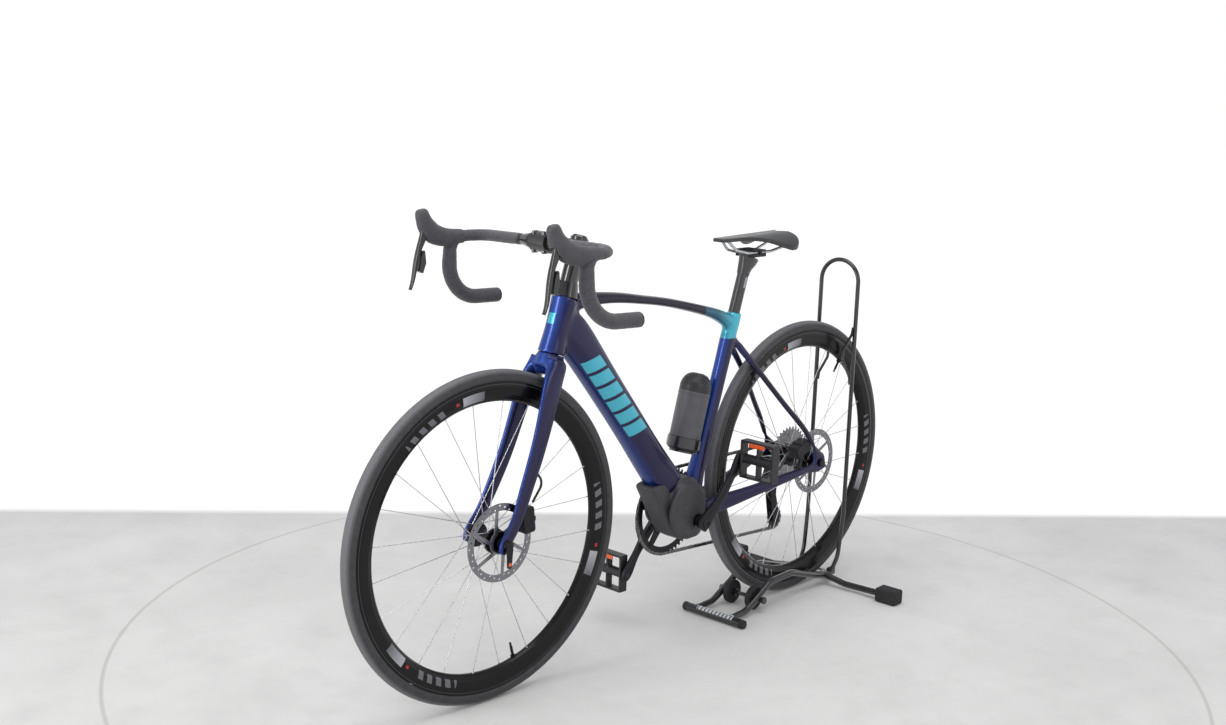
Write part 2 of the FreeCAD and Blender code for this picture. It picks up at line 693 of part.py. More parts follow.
def chain():
    """Two runs of side plates tied by pins along the free spans."""
    sides = []
    for y0 in (RING_Y + CHAIN_PLATE_IN, RING_Y - CHAIN_PLATE_OUT):
        outer = Part.Face(chain_loop(CHAIN_HALF_H, y0))
        inner = Part.Face(chain_loop(-CHAIN_HALF_H, y0))
        big, small = (outer, inner) if abs(outer.Area) > abs(inner.Area) else (inner, outer)
        sides.append(big.cut(small).Faces[0].extrude(V(0, CHAIN_PLATE_OUT - CHAIN_PLATE_IN, 0)))
    pins = []
    mid = chain_loop(0.0, RING_Y)
    for e in [e for e in mid.Edges if e.Curve.TypeId == "Part::GeomLine" and e.Length > 120]:
        count = int(e.Length // (CHAIN_PITCH * 2))
        for k in range(2, count - 1):
            p = e.valueAt(e.FirstParameter + (e.LastParameter - e.FirstParameter) * k / count)
            pins.append(rod(p + V(0, -2.0, 0), p + V(0, 2.0, 0), 3.6))
    return fused(sides + pins)


def cassette():
    """Stack of sprockets on its carrier."""
    first = RING_Y - CHAIN_COG * COG_STEP
    y_end = -REAR_HUB_HALF + GAP
    carrier = disc(0, AXLE_Z, first - 4, first + 11 * COG_STEP + 1.4, 13.0)
    cap = disc(0, AXLE_Z, y_end, first - 4, 11)
    cogs = [sprocket(0, AXLE_Z, first + i * COG_STEP, t, 12.5) for i, t in enumerate(COG_TEETH)]
    body = fused([carrier, cap] + cogs)
    return body.cut(disc(0, AXLE_Z, -90, 0, AXLE_R + RUN_FIT))


def derailleur_body():
    """Fixed knuckles and links of the derailleur, with its hanger."""
    hanger = plate([(-16, 330, 5), (10, 324, 5), (16, 300, 5), (4, 296, 5)], -85, -78.5)
    upper = rod(at(8, -86, 304), at(8, -70, 304), 11)
    link = plate([(0, 312, 5), (20, 300, 5), (36, 262, 6), (14, 256, 6)], -78, -68)
    lower = rod(at(24, -78, 262), at(24, -62, 262), 12)
    return fused([hanger, upper, link, lower]).cut(disc(24, 262, -75, -60, 5 + RUN_FIT))


def cage_plate(y0, y1):
    """One side plate of the derailleur cage."""
    g, l = GUIDE_JOCKEY, LOWER_JOCKEY
    return plate([(g[0] + 10, g[1] + 9, 7), (g[0] + 9, g[1] - 34, 9), (l[0] + 11, l[1] - 10, 8),
                  (l[0] - 10, l[1] - 10, 8), (l[0] - 9, l[1] + 14, 8), (g[0] - 9, g[1] - 26, 7),
                  (g[0] - 10, g[1] + 9, 7)], y0, y1)


def derailleur_cage():
    """Cage plates, pulley screws and cage pivot."""
    outer = cage_plate(-59.5, -57)
    inner = cage_plate(-43, -40.8)
    parts = [outer, inner]
    for c in (GUIDE_JOCKEY, LOWER_JOCKEY):
        parts.append(rod(at(c[0], -60.5, c[1]), at(c[0], -40, c[1]), 3.0))
    parts.append(rod(at(24, -74, 262), at(24, -59, 262), 5.0))
    return fused(parts)


def jockey(c):
    """Jockey wheel running on its screw."""
    wheel = sprocket(c[0], c[1], RING_Y, JOCKEY_TEETH, 3.0 + RUN_FIT)
    boss = disc(c[0], c[1], RING_Y - 4, RING_Y + 4, 9, 3.0 + RUN_FIT)
    return fused([wheel, boss])


def chainring():
    """Toothed ring with its spider arms."""
    ring_body = sprocket(BB[0], BB[1], RING_Y, RING_TEETH, 84)
    arms = []
    for k in range(5):
        a = 2.0 * math.pi * (k + 0.25) / 5
        p = at(BB[0] + 24 * math.cos(a), RING_Y - 2.5, BB[1] + 24 * math.sin(a))
        q = at(BB[0] + 89 * math.cos(a), RING_Y - 2.5, BB[1] + 89 * math.sin(a))
        d = unit(q - p)
        w = d.cross(V(0, 1, 0)) * 11.0
        loop = Part.makePolygon([p + w, q + w * 0.6, q - w * 0.6, p - w, p + w])
        arms.append(Part.Face(loop).extrude(V(0, 4.6, 0)))
        arms.append(rod(at(BB[0] + 86.5 * math.cos(a), RING_Y - 4, BB[1] + 86.5 * math.sin(a)),
                        at(BB[0] + 86.5 * math.cos(a), RING_Y + 3, BB[1] + 86.5 * math.sin(a)), 4.5))
    centre = disc(BB[0], BB[1], RING_Y - 2.5, RING_Y + 2.1, 30)
    return fused([ring_body, centre] + arms).cut(disc(BB[0], BB[1], -70, -30, SPINDLE_R))


def arm_end(sign):
    """Pedal end of a crank arm; the left arm has sign 1."""
    return (BB[0] + sign * CRANK_DIR[0] * CRANK_LEN, BB[1] + sign * CRANK_DIR[1] * CRANK_LEN)


def crank_arms():
    """Crank spindle with both arms."""
    shapes = []
    for sign in (1, -1):
        y_in = sign * (ARM_Y - ARM_T / 2)
        bx, bz = BB
        flare = sign * 20
        y_root = y_in - flare
        ux, uz = sign * CRANK_DIR[0], sign * CRANK_DIR[1]
        wires = []
        for s, y, w, t in ((-18, y_root, 26, 15), (0, y_root, 38, 17), (30, y_root + flare * 0.35, 31, 15),
                           (80, y_root + flare * 0.8, 26, 13), (140, y_in, 25, 12), (172, y_in, 27, 12),
                           (184, y_in, 16, 10)):
            c = at(bx + ux * s, y + sign * 6, bz + uz * s)
            wires.append(section(c, V(ux, 0, uz), t, w, 3.0))
        arm = Part.makeLoft(wires, True, False)
        shapes.append(arm)
    spindle = rod(at(BB[0], -66, BB[1]), at(BB[0], 66, BB[1]), SPINDLE_R)
    body = fused(shapes + [spindle])
    for sign in (1, -1):
        ex, ez = arm_end(sign)
        body = body.cut(rod(at(ex, sign * 70, ez), at(ex, sign * 100, ez), 7.0 + RUN_FIT))
    return body


def pedal(sign):
    """Flat cage pedal hanging from its spindle, with side reflectors."""
    ex, ez = arm_end(sign)
    y0 = sign * (PEDAL_Y - PEDAL_W / 2)
    y1 = sign * (PEDAL_Y + PEDAL_W / 2)
    y_mid = sign * PEDAL_Y
    core = rod(at(ex, y0, ez), at(ex, y1, ez), 11)
    shaft = rod(at(ex, sign * (ARM_Y - 6), ez), at(ex, y0 + sign * 2, ez), 7.0)
    bars = []
    for s in (-1, 1):
        a, b = sorted((y0, y1))
        bars.append(Part.makeBox(PEDAL_T, b - a, 5, at(ex - PEDAL_T / 2, a, ez + s * (PEDAL_L / 2 - 2.5) - 2.5)))
    for y in (y0 + sign * 2.5, y1 - sign * 2.5):
        bars.append(Part.makeBox(PEDAL_T, 5, PEDAL_L, at(ex - PEDAL_T / 2, y - 2.5, ez - PEDAL_L / 2)))
    bars.append(Part.makeBox(PEDAL_T - 6, 6, PEDAL_L - 4, at(ex - PEDAL_T / 2 + 3, y_mid - 3, ez - PEDAL_L / 2 + 2)))
    return fused([core, shaft] + bars)


# ---- steering ----
def fork():
    """Crown, two blades and steerer."""
    blades = []
    for s in (1, -1):
        blades.append(loft([(858, s * 24, 684, 34, 48), (872, s * 33, 656, 24, 50), (893, s * 41, 604, 17, 46),
                            (926, s * 46, 510, 15, 38), (964, s * 51, 424, 14, 32), (996, s * 56, 366, 13, 28),
                            (1015, s * 57, 341, 13, 26), (1022, s * 57, 322, 12, 16)], 2.3))
    a, d = head_axis(HEAD_TUBE_Z[0]), unit(head_axis(800) - head_axis(700))
    hat = taper(a - d * 26, a - d * GAP, 30, 27.5)
    core = a - d * 25
    crown = [rod(core + V(0, -25, 0), core + V(0, 25, 0), 20)]
    for s in (1, -1):
        crown.append(Part.makeSphere(20, core + V(0, s * 25, 0)))
    steerer = rod(a - d * 26, head_axis(922), STEERER_R)
    tyre_room = Part.makeTorus(TYRE_RING_R, TYRE_SECTION_R + 5, V(-REAR_X, 0, AXLE_Z), V(0, 1, 0))
    body = fused(blades + crown + [hat, steerer]).cut(tyre_room)
    return body.cut(rod(at(WHEELBASE, -90, AXLE_Z), at(WHEELBASE, 90, AXLE_Z), AXLE_R))


def spacers():
    """Tapered headset cover, spacers and top cap."""
    a, b = head_axis(810.5), head_axis(887)
    d = unit(b - a)
    cover = taper(a, a + d * 30, 27.0, 20.0)
    stack = rod(a + d * 30, b, 18.5)
    body = fused([cover, stack]).cut(rod(a - d * 5, b + d * 5, STEERER_R))
    cap = taper(head_axis(928.5), head_axis(933), 17.5, 14.0)
    return group([body, cap])


def stem():
    """Stem from the steerer clamp to the bar clamp."""
    d = unit(head_axis(900) - head_axis(800))
    a, b = head_axis(887.5), head_axis(928)
    bar = at(BAR_C[0], 0, BAR_C[1])
    clamp = rod(a, b, 19.0)
    arm = loft([(786, 0, 908, 36, 34), (815, 0, 914.5, 34, 32), (850, 0, 922.5, 38, 32), (868, 0, 926.8, 44, 36)], 2.8)
    grip = rod(bar + V(0, -23, 0), bar + V(0, 23, 0), 21.5)
    back = Part.makeBox(60, 60, 60, bar + V(-59.0, -30, -30))
    body = fused([clamp, arm, grip.common(back)])
    body = body.cut(rod(bar + V(0, -60, 0), bar + V(0, 60, 0), 15.9))
    return body.cut(rod(a - d * 20, b + d * 20, STEERER_R))


def faceplate():
    """Front half of the bar clamp with its four bolts."""
    bar = at(BAR_C[0], 0, BAR_C[1])
    grip = rod(bar + V(0, -23, 0), bar + V(0, 23, 0), 21.5)
    front = Part.makeBox(40, 60, 60, bar + V(1.6, -30, -30))
    body = grip.common(front)
    bolts = []
    for y in (-15, 15):
        for z in (-18.2, 18.2):
            bolts.append(rod(bar + V(3, y, z), bar + V(15, y, z), 4.2))
    body = fused([body] + bolts)
    return body.cut(rod(bar + V(0, -60, 0), bar + V(0, 60, 0), 15.9))


def bar_points():
    """Corners of the left half of the bar and their bend radii."""
    return [at(BAR_C[0], 0, BAR_C[1]), at(BAR_C[0], 200, BAR_C[1] - 1), at(951, 206, BAR_C[1] - 4),
            at(951, 212, 794), at(820, 215, 791)], (42, 30, 76)


def handlebar():
    """Drop bar with a thick middle."""
    points, bends = bar_points()
    half = bent_rod(points, bends, BAR_R)
    bar = at(BAR_C[0], 0, BAR_C[1])
    middle = rod(bar + V(0, -36, 0), bar + V(0, 36, 0), 15.9)
    swell = taper(bar + V(0, 36, 0), bar + V(0, 64, 0), 15.9, BAR_R)
    return fused([half, mirrored(half), middle, swell, mirrored(swell)])


def tape_body():
    """Outside of the left tape: flattened along the top, round round the drop."""
    points, bends = bar_points()
    start = at(BAR_C[0], 66, BAR_C[1])
    top_wire = bent_wire([start, points[1], points[2] - V(12, 0, 0)], bends[:1])
    oval = section(start, V(0, 1, 0), 31.0, 24.0, 2.2, V(1, 0, 0))
    top = top_wire.makePipeShell([oval], True, False)
    drop = bent_rod([points[2] - V(34, 0, 0), points[2], points[3], points[4]], bends[1:], TAPE_R)
    return fused([top, drop])


def bar_tape():
    """Padded tape with its end plugs on both halves."""
    points, bends = bar_points()
    core = bent_rod(points, bends, BAR_R)
    tape = tape_body().cut(core)
    plug = rod(points[-1], points[-1] + unit(points[-1] - points[-2]) * 4, TAPE_R)
    plug = plug.makeFillet(2, [e for e in plug.Edges if e.CenterOfMass.x < points[-1].x - 3])
    return both(fused([tape, plug]))


def hood_body():
    """Left brake hood with its thumb knob."""
    rows = [((920, 205, 922), V(1, 0, 0.0), 30, 28), ((930, 205, 921), V(1, 0, 0.0), 33, 32),
            ((952, 205, 920), V(1, 0, 0.0), 34, 37),
            ((978, 204, 924), V(1, 0, 0.15), 32, 40), ((1003, 202, 934), V(0.8, 0, 0.5), 31, 42),
            ((1017, 201, 950), V(0.45, 0, 0.9), 28, 38), ((1025, 200, 966), V(0.25, 0, 0.97), 25, 31),
            ((1028, 200, 976), V(0.2, 0, 0.98), 22, 26), ((1029, 200, 981), V(0.2, 0, 0.98), 14, 17)]
    wires = [section(at(*p), n, w, h, 2.3) for p, n, w, h in rows]
    return Part.makeLoft(wires, True, False)


def hoods():
    """Both hoods, slotted for the levers, with the lever pins."""
    body = main_body(hood_body().cut(tape_body()))
    slot = rod(at(LEVER_PIN[0], 202 - 7.6, LEVER_PIN[1]), at(LEVER_PIN[0], 202 + 7.6, LEVER_PIN[1]), 14.5)
    trough = Part.makeBox(40, 15.2, 40, at(1009, 202 - 7.6, 889))
    body = main_body(body.cut(slot).cut(trough))
    pin = rod(at(LEVER_PIN[0], 190, LEVER_PIN[1]), at(LEVER_PIN[0], 214, LEVER_PIN[1]), 2.5)
    return both(fused([body, pin]))


def lever():
    """Left brake lever hanging from its pin."""
    rows = [((1021, 202, 938), V(0.1, 0, -1), 13.4, 15), ((1024, 202, 922), V(0.3, 0, -1), 13.2, 15),
            ((1035, 203, 893), V(0.2, 0, -1), 13, 9.5), ((1041, 204, 866), V(0.15, 0, -1), 12, 8),
            ((1045, 205, 842), V(0.2, 0, -1), 11, 6.5), ((1053, 205, 819), V(0.35, 0, -1), 9, 4.5)]
    wires = [section(at(*p), n, w, h, 2.6) for p, n, w, h in rows]
    body = Part.makeLoft(wires, True, False)
    if body.Volume < 0:
        body.reverse()
    return body.cut(rod(at(LEVER_PIN[0], 180, LEVER_PIN[1]), at(LEVER_PIN[0], 224, LEVER_PIN[1]), 2.5 + RUN_FIT))


def paddle():
    """Left shift paddle behind the brake lever."""
    blade = plate([(1021, 898, 2), (1027.5, 897, 2), (1035, 856, 2), (1026, 851, 2), (1018, 872, 4)], 197, 210)
    pin = rod(at(PADDLE_PIN[0], 195, PADDLE_PIN[1]), at(PADDLE_PIN[0], 212, PADDLE_PIN[1]), 2.4)
    return fused([blade, pin])


def front_axle():
    """Front thru axle with its lever."""
    shaft = rod(at(WHEELBASE, -64, AXLE_Z), at(WHEELBASE, 66, AXLE_Z), AXLE_R)
    head = rod(at(WHEELBASE, 64, AXLE_Z), at(WHEELBASE, 70, AXLE_Z), 9.5)
    handle = plate([(1007, 349, 4), (1023, 349, 4), (1021, 296, 3), (1012, 296, 3)], 70, 74)
    return fused([shaft, head, handle])


def front_caliper():
    """Front caliper behind the left fork blade."""
    angle = math.radians(150)
    feet = [rod(at(956, 48, 408), at(964, 56, 420), 5.5)]
    return main_body(caliper(WHEELBASE, AXLE_Z, FRONT_ROTOR_Y, angle, 66, feet).cut(fork()))


def front_hose():
    """Hose down the back of the left fork blade to the caliper."""
    hose = bent_rod([at(938, 49, 478), at(914, 54, 452), at(940, 50, 412)], (22,), 2.5)
    return hose.cut(fork()).cut(front_caliper())


# ---- seat ----
def seatpost():
    """Round post with its head."""
    d = unit(seat_axis(900) - seat_axis(700))
    post = rod(seat_axis(560), seat_axis(842), POST_R)
    top = seat_axis(842)
    lean = top.x - REAR_X
    head = loft([(lean + 8, 0, 815, 28, 29), (lean + 2, 0, 832, 30, 36), (lean - 6, 0, 845, 33, 50),
                 (lean - 10, 0, 855, 34, 60)], 2.4)
    return fused([post, head])


def saddle_clamp():
    """Rail clamp with its cross bolt."""
    lower = Part.makeBox(52, 52, 8, at(192, -26, 856.4))
    lower = lower.makeFillet(3, [e for e in lower.Edges if abs(e.Vertexes[0].Z - e.Vertexes[-1].Z) > 1])
    upper = Part.makeBox(44, 52, 5, at(196, -26, 868))
    bolt = rod(at(218, -30, 866), at(218, 30, 866), 3.6)
    whole = fused([lower, upper, Part.makeBox(20, 30, 10, at(208, -15, 860)), bolt])
    return whole.cut(rails_solid(3.5)).cut(seatpost())


def rails_solid(r):
    """Left and right saddle rails as swept rods."""
    left = bent_rod([at(318, 8, 899), at(288, 14, 874), at(256, 22, 867), at(172, 22, 867), at(126, 29, 878),
                     at(108, 34, 904)], (24, 30, 30, 16), r)
    return group([left, mirrored(left)])


def saddle_rails():
    """Thin rails under the saddle."""
    return rails_solid(3.5)


def saddle_plan():
    """Tall prism with the saddle's outline seen from above."""
    half = [(345, 8), (336, 17), (318, 20.5), (282, 23), (246, 30), (212, 44), (178, 63), (150, 71), (128, 68),
            (112, 56), (104, 40)]
    sides = []
    for s in (1, -1):
        curve = Part.BSplineCurve()
        curve.interpolate(Points=[at(x, s * y, SADDLE_LOW) for x, y in half])
        sides.append(curve.toShape())
    nose = Part.makeLine(at(345, 8, SADDLE_LOW), at(345, -8, SADDLE_LOW))
    tail = Part.makeLine(at(104, 40, SADDLE_LOW), at(104, -40, SADDLE_LOW))
    outline = Part.Wire(Part.__sortEdges__(sides + [nose, tail]))
    return Part.Face(outline).extrude(V(0, 0, 90))


def saddle():
    """Arched saddle shell with a narrow nose, drooping wings and a notched tail."""
    rise = (SADDLE_TAIL_Z - SADDLE_NOSE_Z) / 216
    front = at(380, 0, SADDLE_NOSE_Z - 60 * rise - SADDLE_ARCH_R)
    back = at(60, 0, SADDLE_NOSE_Z + 260 * rise - SADDLE_ARCH_R)
    arch = rod(front, back, SADDLE_ARCH_R).cut(rod(front, back, SADDLE_ARCH_R - SADDLE_THICK))
    body = saddle_plan().common(arch)
    tip = at(134, 0, SADDLE_LOW)
    corners = [tip, at(90, 27, SADDLE_LOW), at(90, -27, SADDLE_LOW), tip]
    notch = Part.Face(Part.makePolygon(corners)).extrude(V(0, 0, 90))
    return main_body(body.cut(notch))


FRONT_X = WHEELBASE + REAR_X
PARTS = {
    "stand_hoop": lambda: yawed(stand_hoop()),
    "stand_base": lambda: yawed(stand_base()),
    "stand_bar": lambda: yawed(stand_bar()),
    "stand_feet": lambda: yawed(stand_feet()),
    "stand_ties": lambda: yawed(stand_ties()),
    "stand_roller_left": lambda: yawed(stand_roller()),
    "stand_roller_right": lambda: yawed(mirrored(stand_roller())),
    "head_tube": head_tube,
    "headset_bearings": headset,
    "down_tube": down_tube,
    "top_tube": top_tube,
    "seat_tube": seat_tube,
    "chainstays": chainstays,
    "seatstays": seatstays,
    "motor_unit": motor_unit,
    "motor_covers": motor_covers,
    "motor_shroud": motor_shroud,
    "rear_axle": rear_axle,
    "rear_caliper": rear_caliper,
    "rear_hose": rear_hose,
    "bottle_cage": bottle_cage,
    "bottle_battery": bottle,
    "derailleur_body": derailleur_body,
    "derailleur_cage": derailleur_cage,
    "jockey_upper": lambda: jockey(GUIDE_JOCKEY),
    "jockey_lower": lambda: jockey(LOWER_JOCKEY),
    "chain": chain,
    "cassette": cassette,
    "chainring": chainring,
    "crank_arms": crank_arms,
    "pedal_left": lambda: pedal(1),
    "pedal_right": lambda: pedal(-1),
    "fork": lambda: steered(fork()),
    "spacers": lambda: steered(spacers()),
    "stem": lambda: steered(stem()),
    "faceplate": lambda: steered(faceplate()),
    "handlebar": lambda: steered(handlebar()),
    "bar_tape": lambda: steered(bar_tape()),
    "hoods": lambda: steered(hoods()),
    "lever_left": lambda: steered(lever()),
    "lever_right": lambda: steered(mirrored(lever())),
    "paddle_left": lambda: steered(paddle()),
    "paddle_right": lambda: steered(mirrored(paddle())),
    "front_axle": lambda: steered(front_axle()),
    "front_caliper": lambda: steered(front_caliper()),
    "front_hose": lambda: steered(front_hose()),
    "seatpost": seatpost,
    "saddle_clamp": saddle_clamp,
    "saddle_rails": saddle_rails,
    "saddle": saddle,
    "front_tyre": lambda: steered(tyre(FRONT_X)),
    "front_rim": lambda: steered(group([rim(FRONT_X), valve(FRONT_X, -1.83)])),
    "front_spokes": lambda: steered(spokes(FRONT_X, 23, -33, 21)),
    "front_hub": lambda: steered(hub(FRONT_X, 49.6, 49.6, 23, -33, 25, 13)),
    "front_rotor": lambda: steered(rotor(FRONT_X, FRONT_ROTOR_Y)),
    "rear_tyre": lambda: tyre(REAR_X),
    "rear_rim": lambda: group([rim(REAR_X), valve(REAR_X, 2.2)]),
    "rear_spokes": lambda: spokes(REAR_X, 38, -13, 23),
    "rear_hub": lambda: hub(REAR_X, 70.6, 16.8, 38, -13, 27, 16),
    "rear_rotor": lambda: rotor(REAR_X, REAR_ROTOR_Y),
}


def write_parts():
    """Write one STEP file per node."""
    os.makedirs("parts", exist_ok=True)
    for name, make in PARTS.items():
        shape = make()
        solids = shape.Solids
        print(name, len(solids), round(shape.Volume / 1000.0, 1), shape.isValid())
        shape.exportStep("parts/" + name + ".step")


write_parts()
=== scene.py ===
import json
import math

import bmesh
import bpy
from mathutils import Matrix, Vector
from mathutils.bvhtree import BVHTree


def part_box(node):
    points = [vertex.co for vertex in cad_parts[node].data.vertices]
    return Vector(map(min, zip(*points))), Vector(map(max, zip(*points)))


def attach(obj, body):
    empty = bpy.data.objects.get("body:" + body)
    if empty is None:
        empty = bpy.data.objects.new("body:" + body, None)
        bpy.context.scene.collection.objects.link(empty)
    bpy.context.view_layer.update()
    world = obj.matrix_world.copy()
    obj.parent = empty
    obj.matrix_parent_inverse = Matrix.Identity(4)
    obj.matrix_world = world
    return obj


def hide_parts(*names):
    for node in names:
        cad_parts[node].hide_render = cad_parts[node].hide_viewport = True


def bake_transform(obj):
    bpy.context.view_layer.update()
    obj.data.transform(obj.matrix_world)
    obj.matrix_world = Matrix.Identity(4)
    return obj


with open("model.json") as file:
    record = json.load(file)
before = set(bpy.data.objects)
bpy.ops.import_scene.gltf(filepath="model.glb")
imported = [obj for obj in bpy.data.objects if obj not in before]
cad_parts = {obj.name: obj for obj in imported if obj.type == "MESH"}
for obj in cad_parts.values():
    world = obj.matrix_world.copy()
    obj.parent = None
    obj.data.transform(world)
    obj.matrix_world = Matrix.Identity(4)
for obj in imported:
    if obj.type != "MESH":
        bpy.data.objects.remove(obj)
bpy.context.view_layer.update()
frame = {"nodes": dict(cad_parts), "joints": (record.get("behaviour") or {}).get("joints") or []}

MM = 0.001
JOINTS = {j["name"]: j for j in frame["joints"]}
NODES = frame["nodes"]
REAR = Vector(JOINTS["rear_wheel_spin"]["pos_m"])
FRONT = Vector(JOINTS["front_wheel_spin"]["pos_m"])
CRANK = Vector(JOINTS["crank_spin"]["pos_m"])
HEAD = Vector(JOINTS["steering"]["pos_m"])
HEAD_DIR = Vector(JOINTS["steering"]["axis"]).normalized()
REST_STEER = math.radians(-2.5)
HEAD_LEAN = math.radians(17.5)
STEER_TURN = Matrix.Translation(HEAD) @ Matrix.Rotation(REST_STEER, 4, HEAD_DIR) @ Matrix.Translation(-HEAD)
STAND_YAW = math.radians(2.0)
STAND_PIVOT = Vector((REAR.x - 0.090, 0, 0))
STAND_TURN = (Matrix.Translation(STAND_PIVOT) @ Matrix.Rotation(STAND_YAW, 4, "Z")
              @ Matrix.Translation(-STAND_PIVOT))
IDENTITY = Matrix.Identity(4)


def at(x, y, z):
    """Row-frame point from millimetres forward of the rear axle."""
    return Vector((REAR.x + x * MM, y * MM, z * MM))


def clamp01(v):
    return max(0.0, min(1.0, v))


def turns(steps):
    """Angles that divide a full turn."""
    return [2 * math.pi * k / steps for k in range(steps)]


def across(axis):
    """A unit axis and two directions square to it."""
    axis = Vector(axis).normalized()
    side = axis.orthogonal().normalized()
    return axis, side, axis.cross(side)


# ---------------------------------------------------------------- node graphs
EDGE_SOFT = 0.0006


class Graph:
    """Small helper that builds one procedural material."""

    def __init__(self, name):
        self.mat = bpy.data.materials.new(name)
        self.mat.use_nodes = True
        self.tree = self.mat.node_tree
        self.shader = self.tree.nodes["Principled BSDF"]
        self.pos = self.add("ShaderNodeTexCoord").outputs["Object"]

    def add(self, kind, **settings):
        node = self.tree.nodes.new(kind)
        for key, value in settings.items():
            setattr(node, key, value)
        return node

    def link(self, out, socket):
        self.tree.links.new(out, socket)

    def feed(self, socket, value):
        """Set an input to a plain value, or link an output to it."""
        if isinstance(value, (int, float, tuple, list, Vector)):
            socket.default_value = value
        else:
            self.link(value, socket)

    def math(self, op, a, b=0.0, clamp=False):
        node = self.add("ShaderNodeMath", operation=op, use_clamp=clamp)
        self.feed(node.inputs[0], a)
        self.feed(node.inputs[1], b)
        return node.outputs[0]

    def times(self, *values):
        """Product of several values."""
        out = values[0]
        for value in values[1:]:
            out = self.math("MULTIPLY", out, value)
        return out

    def length(self, a, b):
        """Length of a flat vector from its two parts."""
        return self.math("SQRT", self.math("ADD", self.times(a, a), self.times(b, b)))

    def noise(self, scale, detail=3.0, rough=0.5):
        node = self.add("ShaderNodeTexNoise")
        node.inputs["Scale"].default_value = scale
        node.inputs["Detail"].default_value = detail
        node.inputs["Roughness"].default_value = rough
        self.link(self.pos, node.inputs["Vector"])
        return node.outputs["Fac"]

    def spread(self, value, low, high):
        """Stretch the middle half of a noise to run from low to high."""
        node = self.add("ShaderNodeMapRange")
        self.link(value, node.inputs["Value"])
        node.inputs["From Min"].default_value = 0.25
        node.inputs["From Max"].default_value = 0.75
        node.inputs["To Min"].default_value = low
        node.inputs["To Max"].default_value = high
        return node.outputs["Result"]

    def dot(self, direction, origin=(0, 0, 0)):
        """Distance of the shaded point along a direction from an origin."""
        sub = self.add("ShaderNodeVectorMath", operation="SUBTRACT")
        self.link(self.pos, sub.inputs[0])
        sub.inputs[1].default_value = tuple(origin)
        node = self.add("ShaderNodeVectorMath", operation="DOT_PRODUCT")
        self.link(sub.outputs[0], node.inputs[0])
        node.inputs[1].default_value = tuple(direction)
        return node.outputs["Value"]

    def xyz(self):
        """The shaded point's X, Y and Z."""
        return [self.dot(axis) for axis in ((1, 0, 0), (0, 1, 0), (0, 0, 1))]

    def normal_parts(self):
        """The X, Y and Z of the surface normal."""
        split = self.add("ShaderNodeSeparateXYZ")
        self.link(self.add("ShaderNodeNewGeometry").outputs["Normal"], split.inputs[0])
        return split.outputs

    def step(self, value, edge, soft=EDGE_SOFT):
        """0 below edge, 1 above it, over a short ramp."""
        shifted = self.math("SUBTRACT", value, edge)
        scaled = self.math("DIVIDE", shifted, soft)
        return self.math("ADD", scaled, 0.5, clamp=True)

    def below(self, value, edge, soft=EDGE_SOFT):
        """1 below edge, 0 above it, over a short ramp."""
        return self.math("SUBTRACT", 1.0, self.step(value, edge, soft))

    def window(self, value, low, high, soft=EDGE_SOFT):
        """1 between low and high."""
        return self.times(self.step(value, low, soft), self.below(value, high, soft))

    def dashes(self, value, per_unit, low, high, soft):
        """Repeating bars, each from low to high of its cell."""
        return self.window(self.math("FRACT", self.math("MULTIPLY", value, per_unit)), low, high, soft)

    def radial(self, centre):
        """Distance from a wheel's axis and angle round it."""
        dx = self.dot((1, 0, 0), centre)
        dz = self.dot((0, 0, 1), centre)
        return self.length(dx, dz), self.math("ARCTAN2", dz, dx)

    def mix(self, factor, a, b):
        node = self.add("ShaderNodeMix", data_type="RGBA")
        self.feed(node.inputs["Factor"], factor)
        self.feed(node.inputs["A"], colour(a) if isinstance(a, tuple) else a)
        self.feed(node.inputs["B"], colour(b) if isinstance(b, tuple) else b)
        return node.outputs["Result"]

    def bump(self, height, strength, distance, normal=None):
        node = self.add("ShaderNodeBump")
        node.inputs["Strength"].default_value = strength
        node.inputs["Distance"].default_value = distance
        self.link(height, node.inputs["Height"])
        if normal is not None:
            self.link(normal, node.inputs["Normal"])
        return node.outputs["Normal"]

    def bevel(self, radius):
        node = self.add("ShaderNodeBevel", samples=4)
        node.inputs["Radius"].default_value = radius
        return node.outputs["Normal"]


def colour(rgb):
    return (rgb[0], rgb[1], rgb[2], 1.0)


def srgb(r, g, b):
    """Linear colour from display values out of 255."""
    out = []
    for v in (r, g, b):
        v = v / 255.0
        out.append(v / 12.92 if v <= 0.04045 else ((v + 0.055) / 1.055) ** 2.4)
    return tuple(out)


ROUGH_FINER = 2.7


def finish(name, base, tint, rough, spread=0.05, metallic=0.0, coat=0.0, coat_rough=0.04, spec=0.5,
           tint_scale=30.0, grain=(900.0, 0.08, 0.0002), round_edges=0.0, sheen=0.0, paint=None):
    """Procedural material: varied colour and roughness, fine bump, optional rounded edges and painted masks.

    grain is the bump's scale, strength and depth. paint(graph, colour, roughness) returns both again.
    """
    g = Graph(name)
    sh = g.shader
    sh.inputs["Metallic"].default_value = metallic
    sh.inputs["Coat Weight"].default_value = coat
    sh.inputs["Coat Roughness"].default_value = coat_rough
    sh.inputs["Specular IOR Level"].default_value = spec
    sh.inputs["Sheen Weight"].default_value = sheen
    shade = g.mix(g.spread(g.noise(tint_scale, 4.0), 0.0, 1.0), base, tint)
    low, high = max(0.01, rough - spread), min(1.0, rough + spread)
    rough_out = g.spread(g.noise(tint_scale * ROUGH_FINER, 3.0), low, high)
    if paint:
        shade, rough_out = paint(g, shade, rough_out)
    g.link(shade, sh.inputs["Base Color"])
    g.link(rough_out, sh.inputs["Roughness"])
    normal = g.bevel(round_edges) if round_edges else None
    scale, strength, distance = grain
    g.link(g.bump(g.noise(scale, 2.0), strength, distance, normal), sh.inputs["Normal"])
    return g.mat


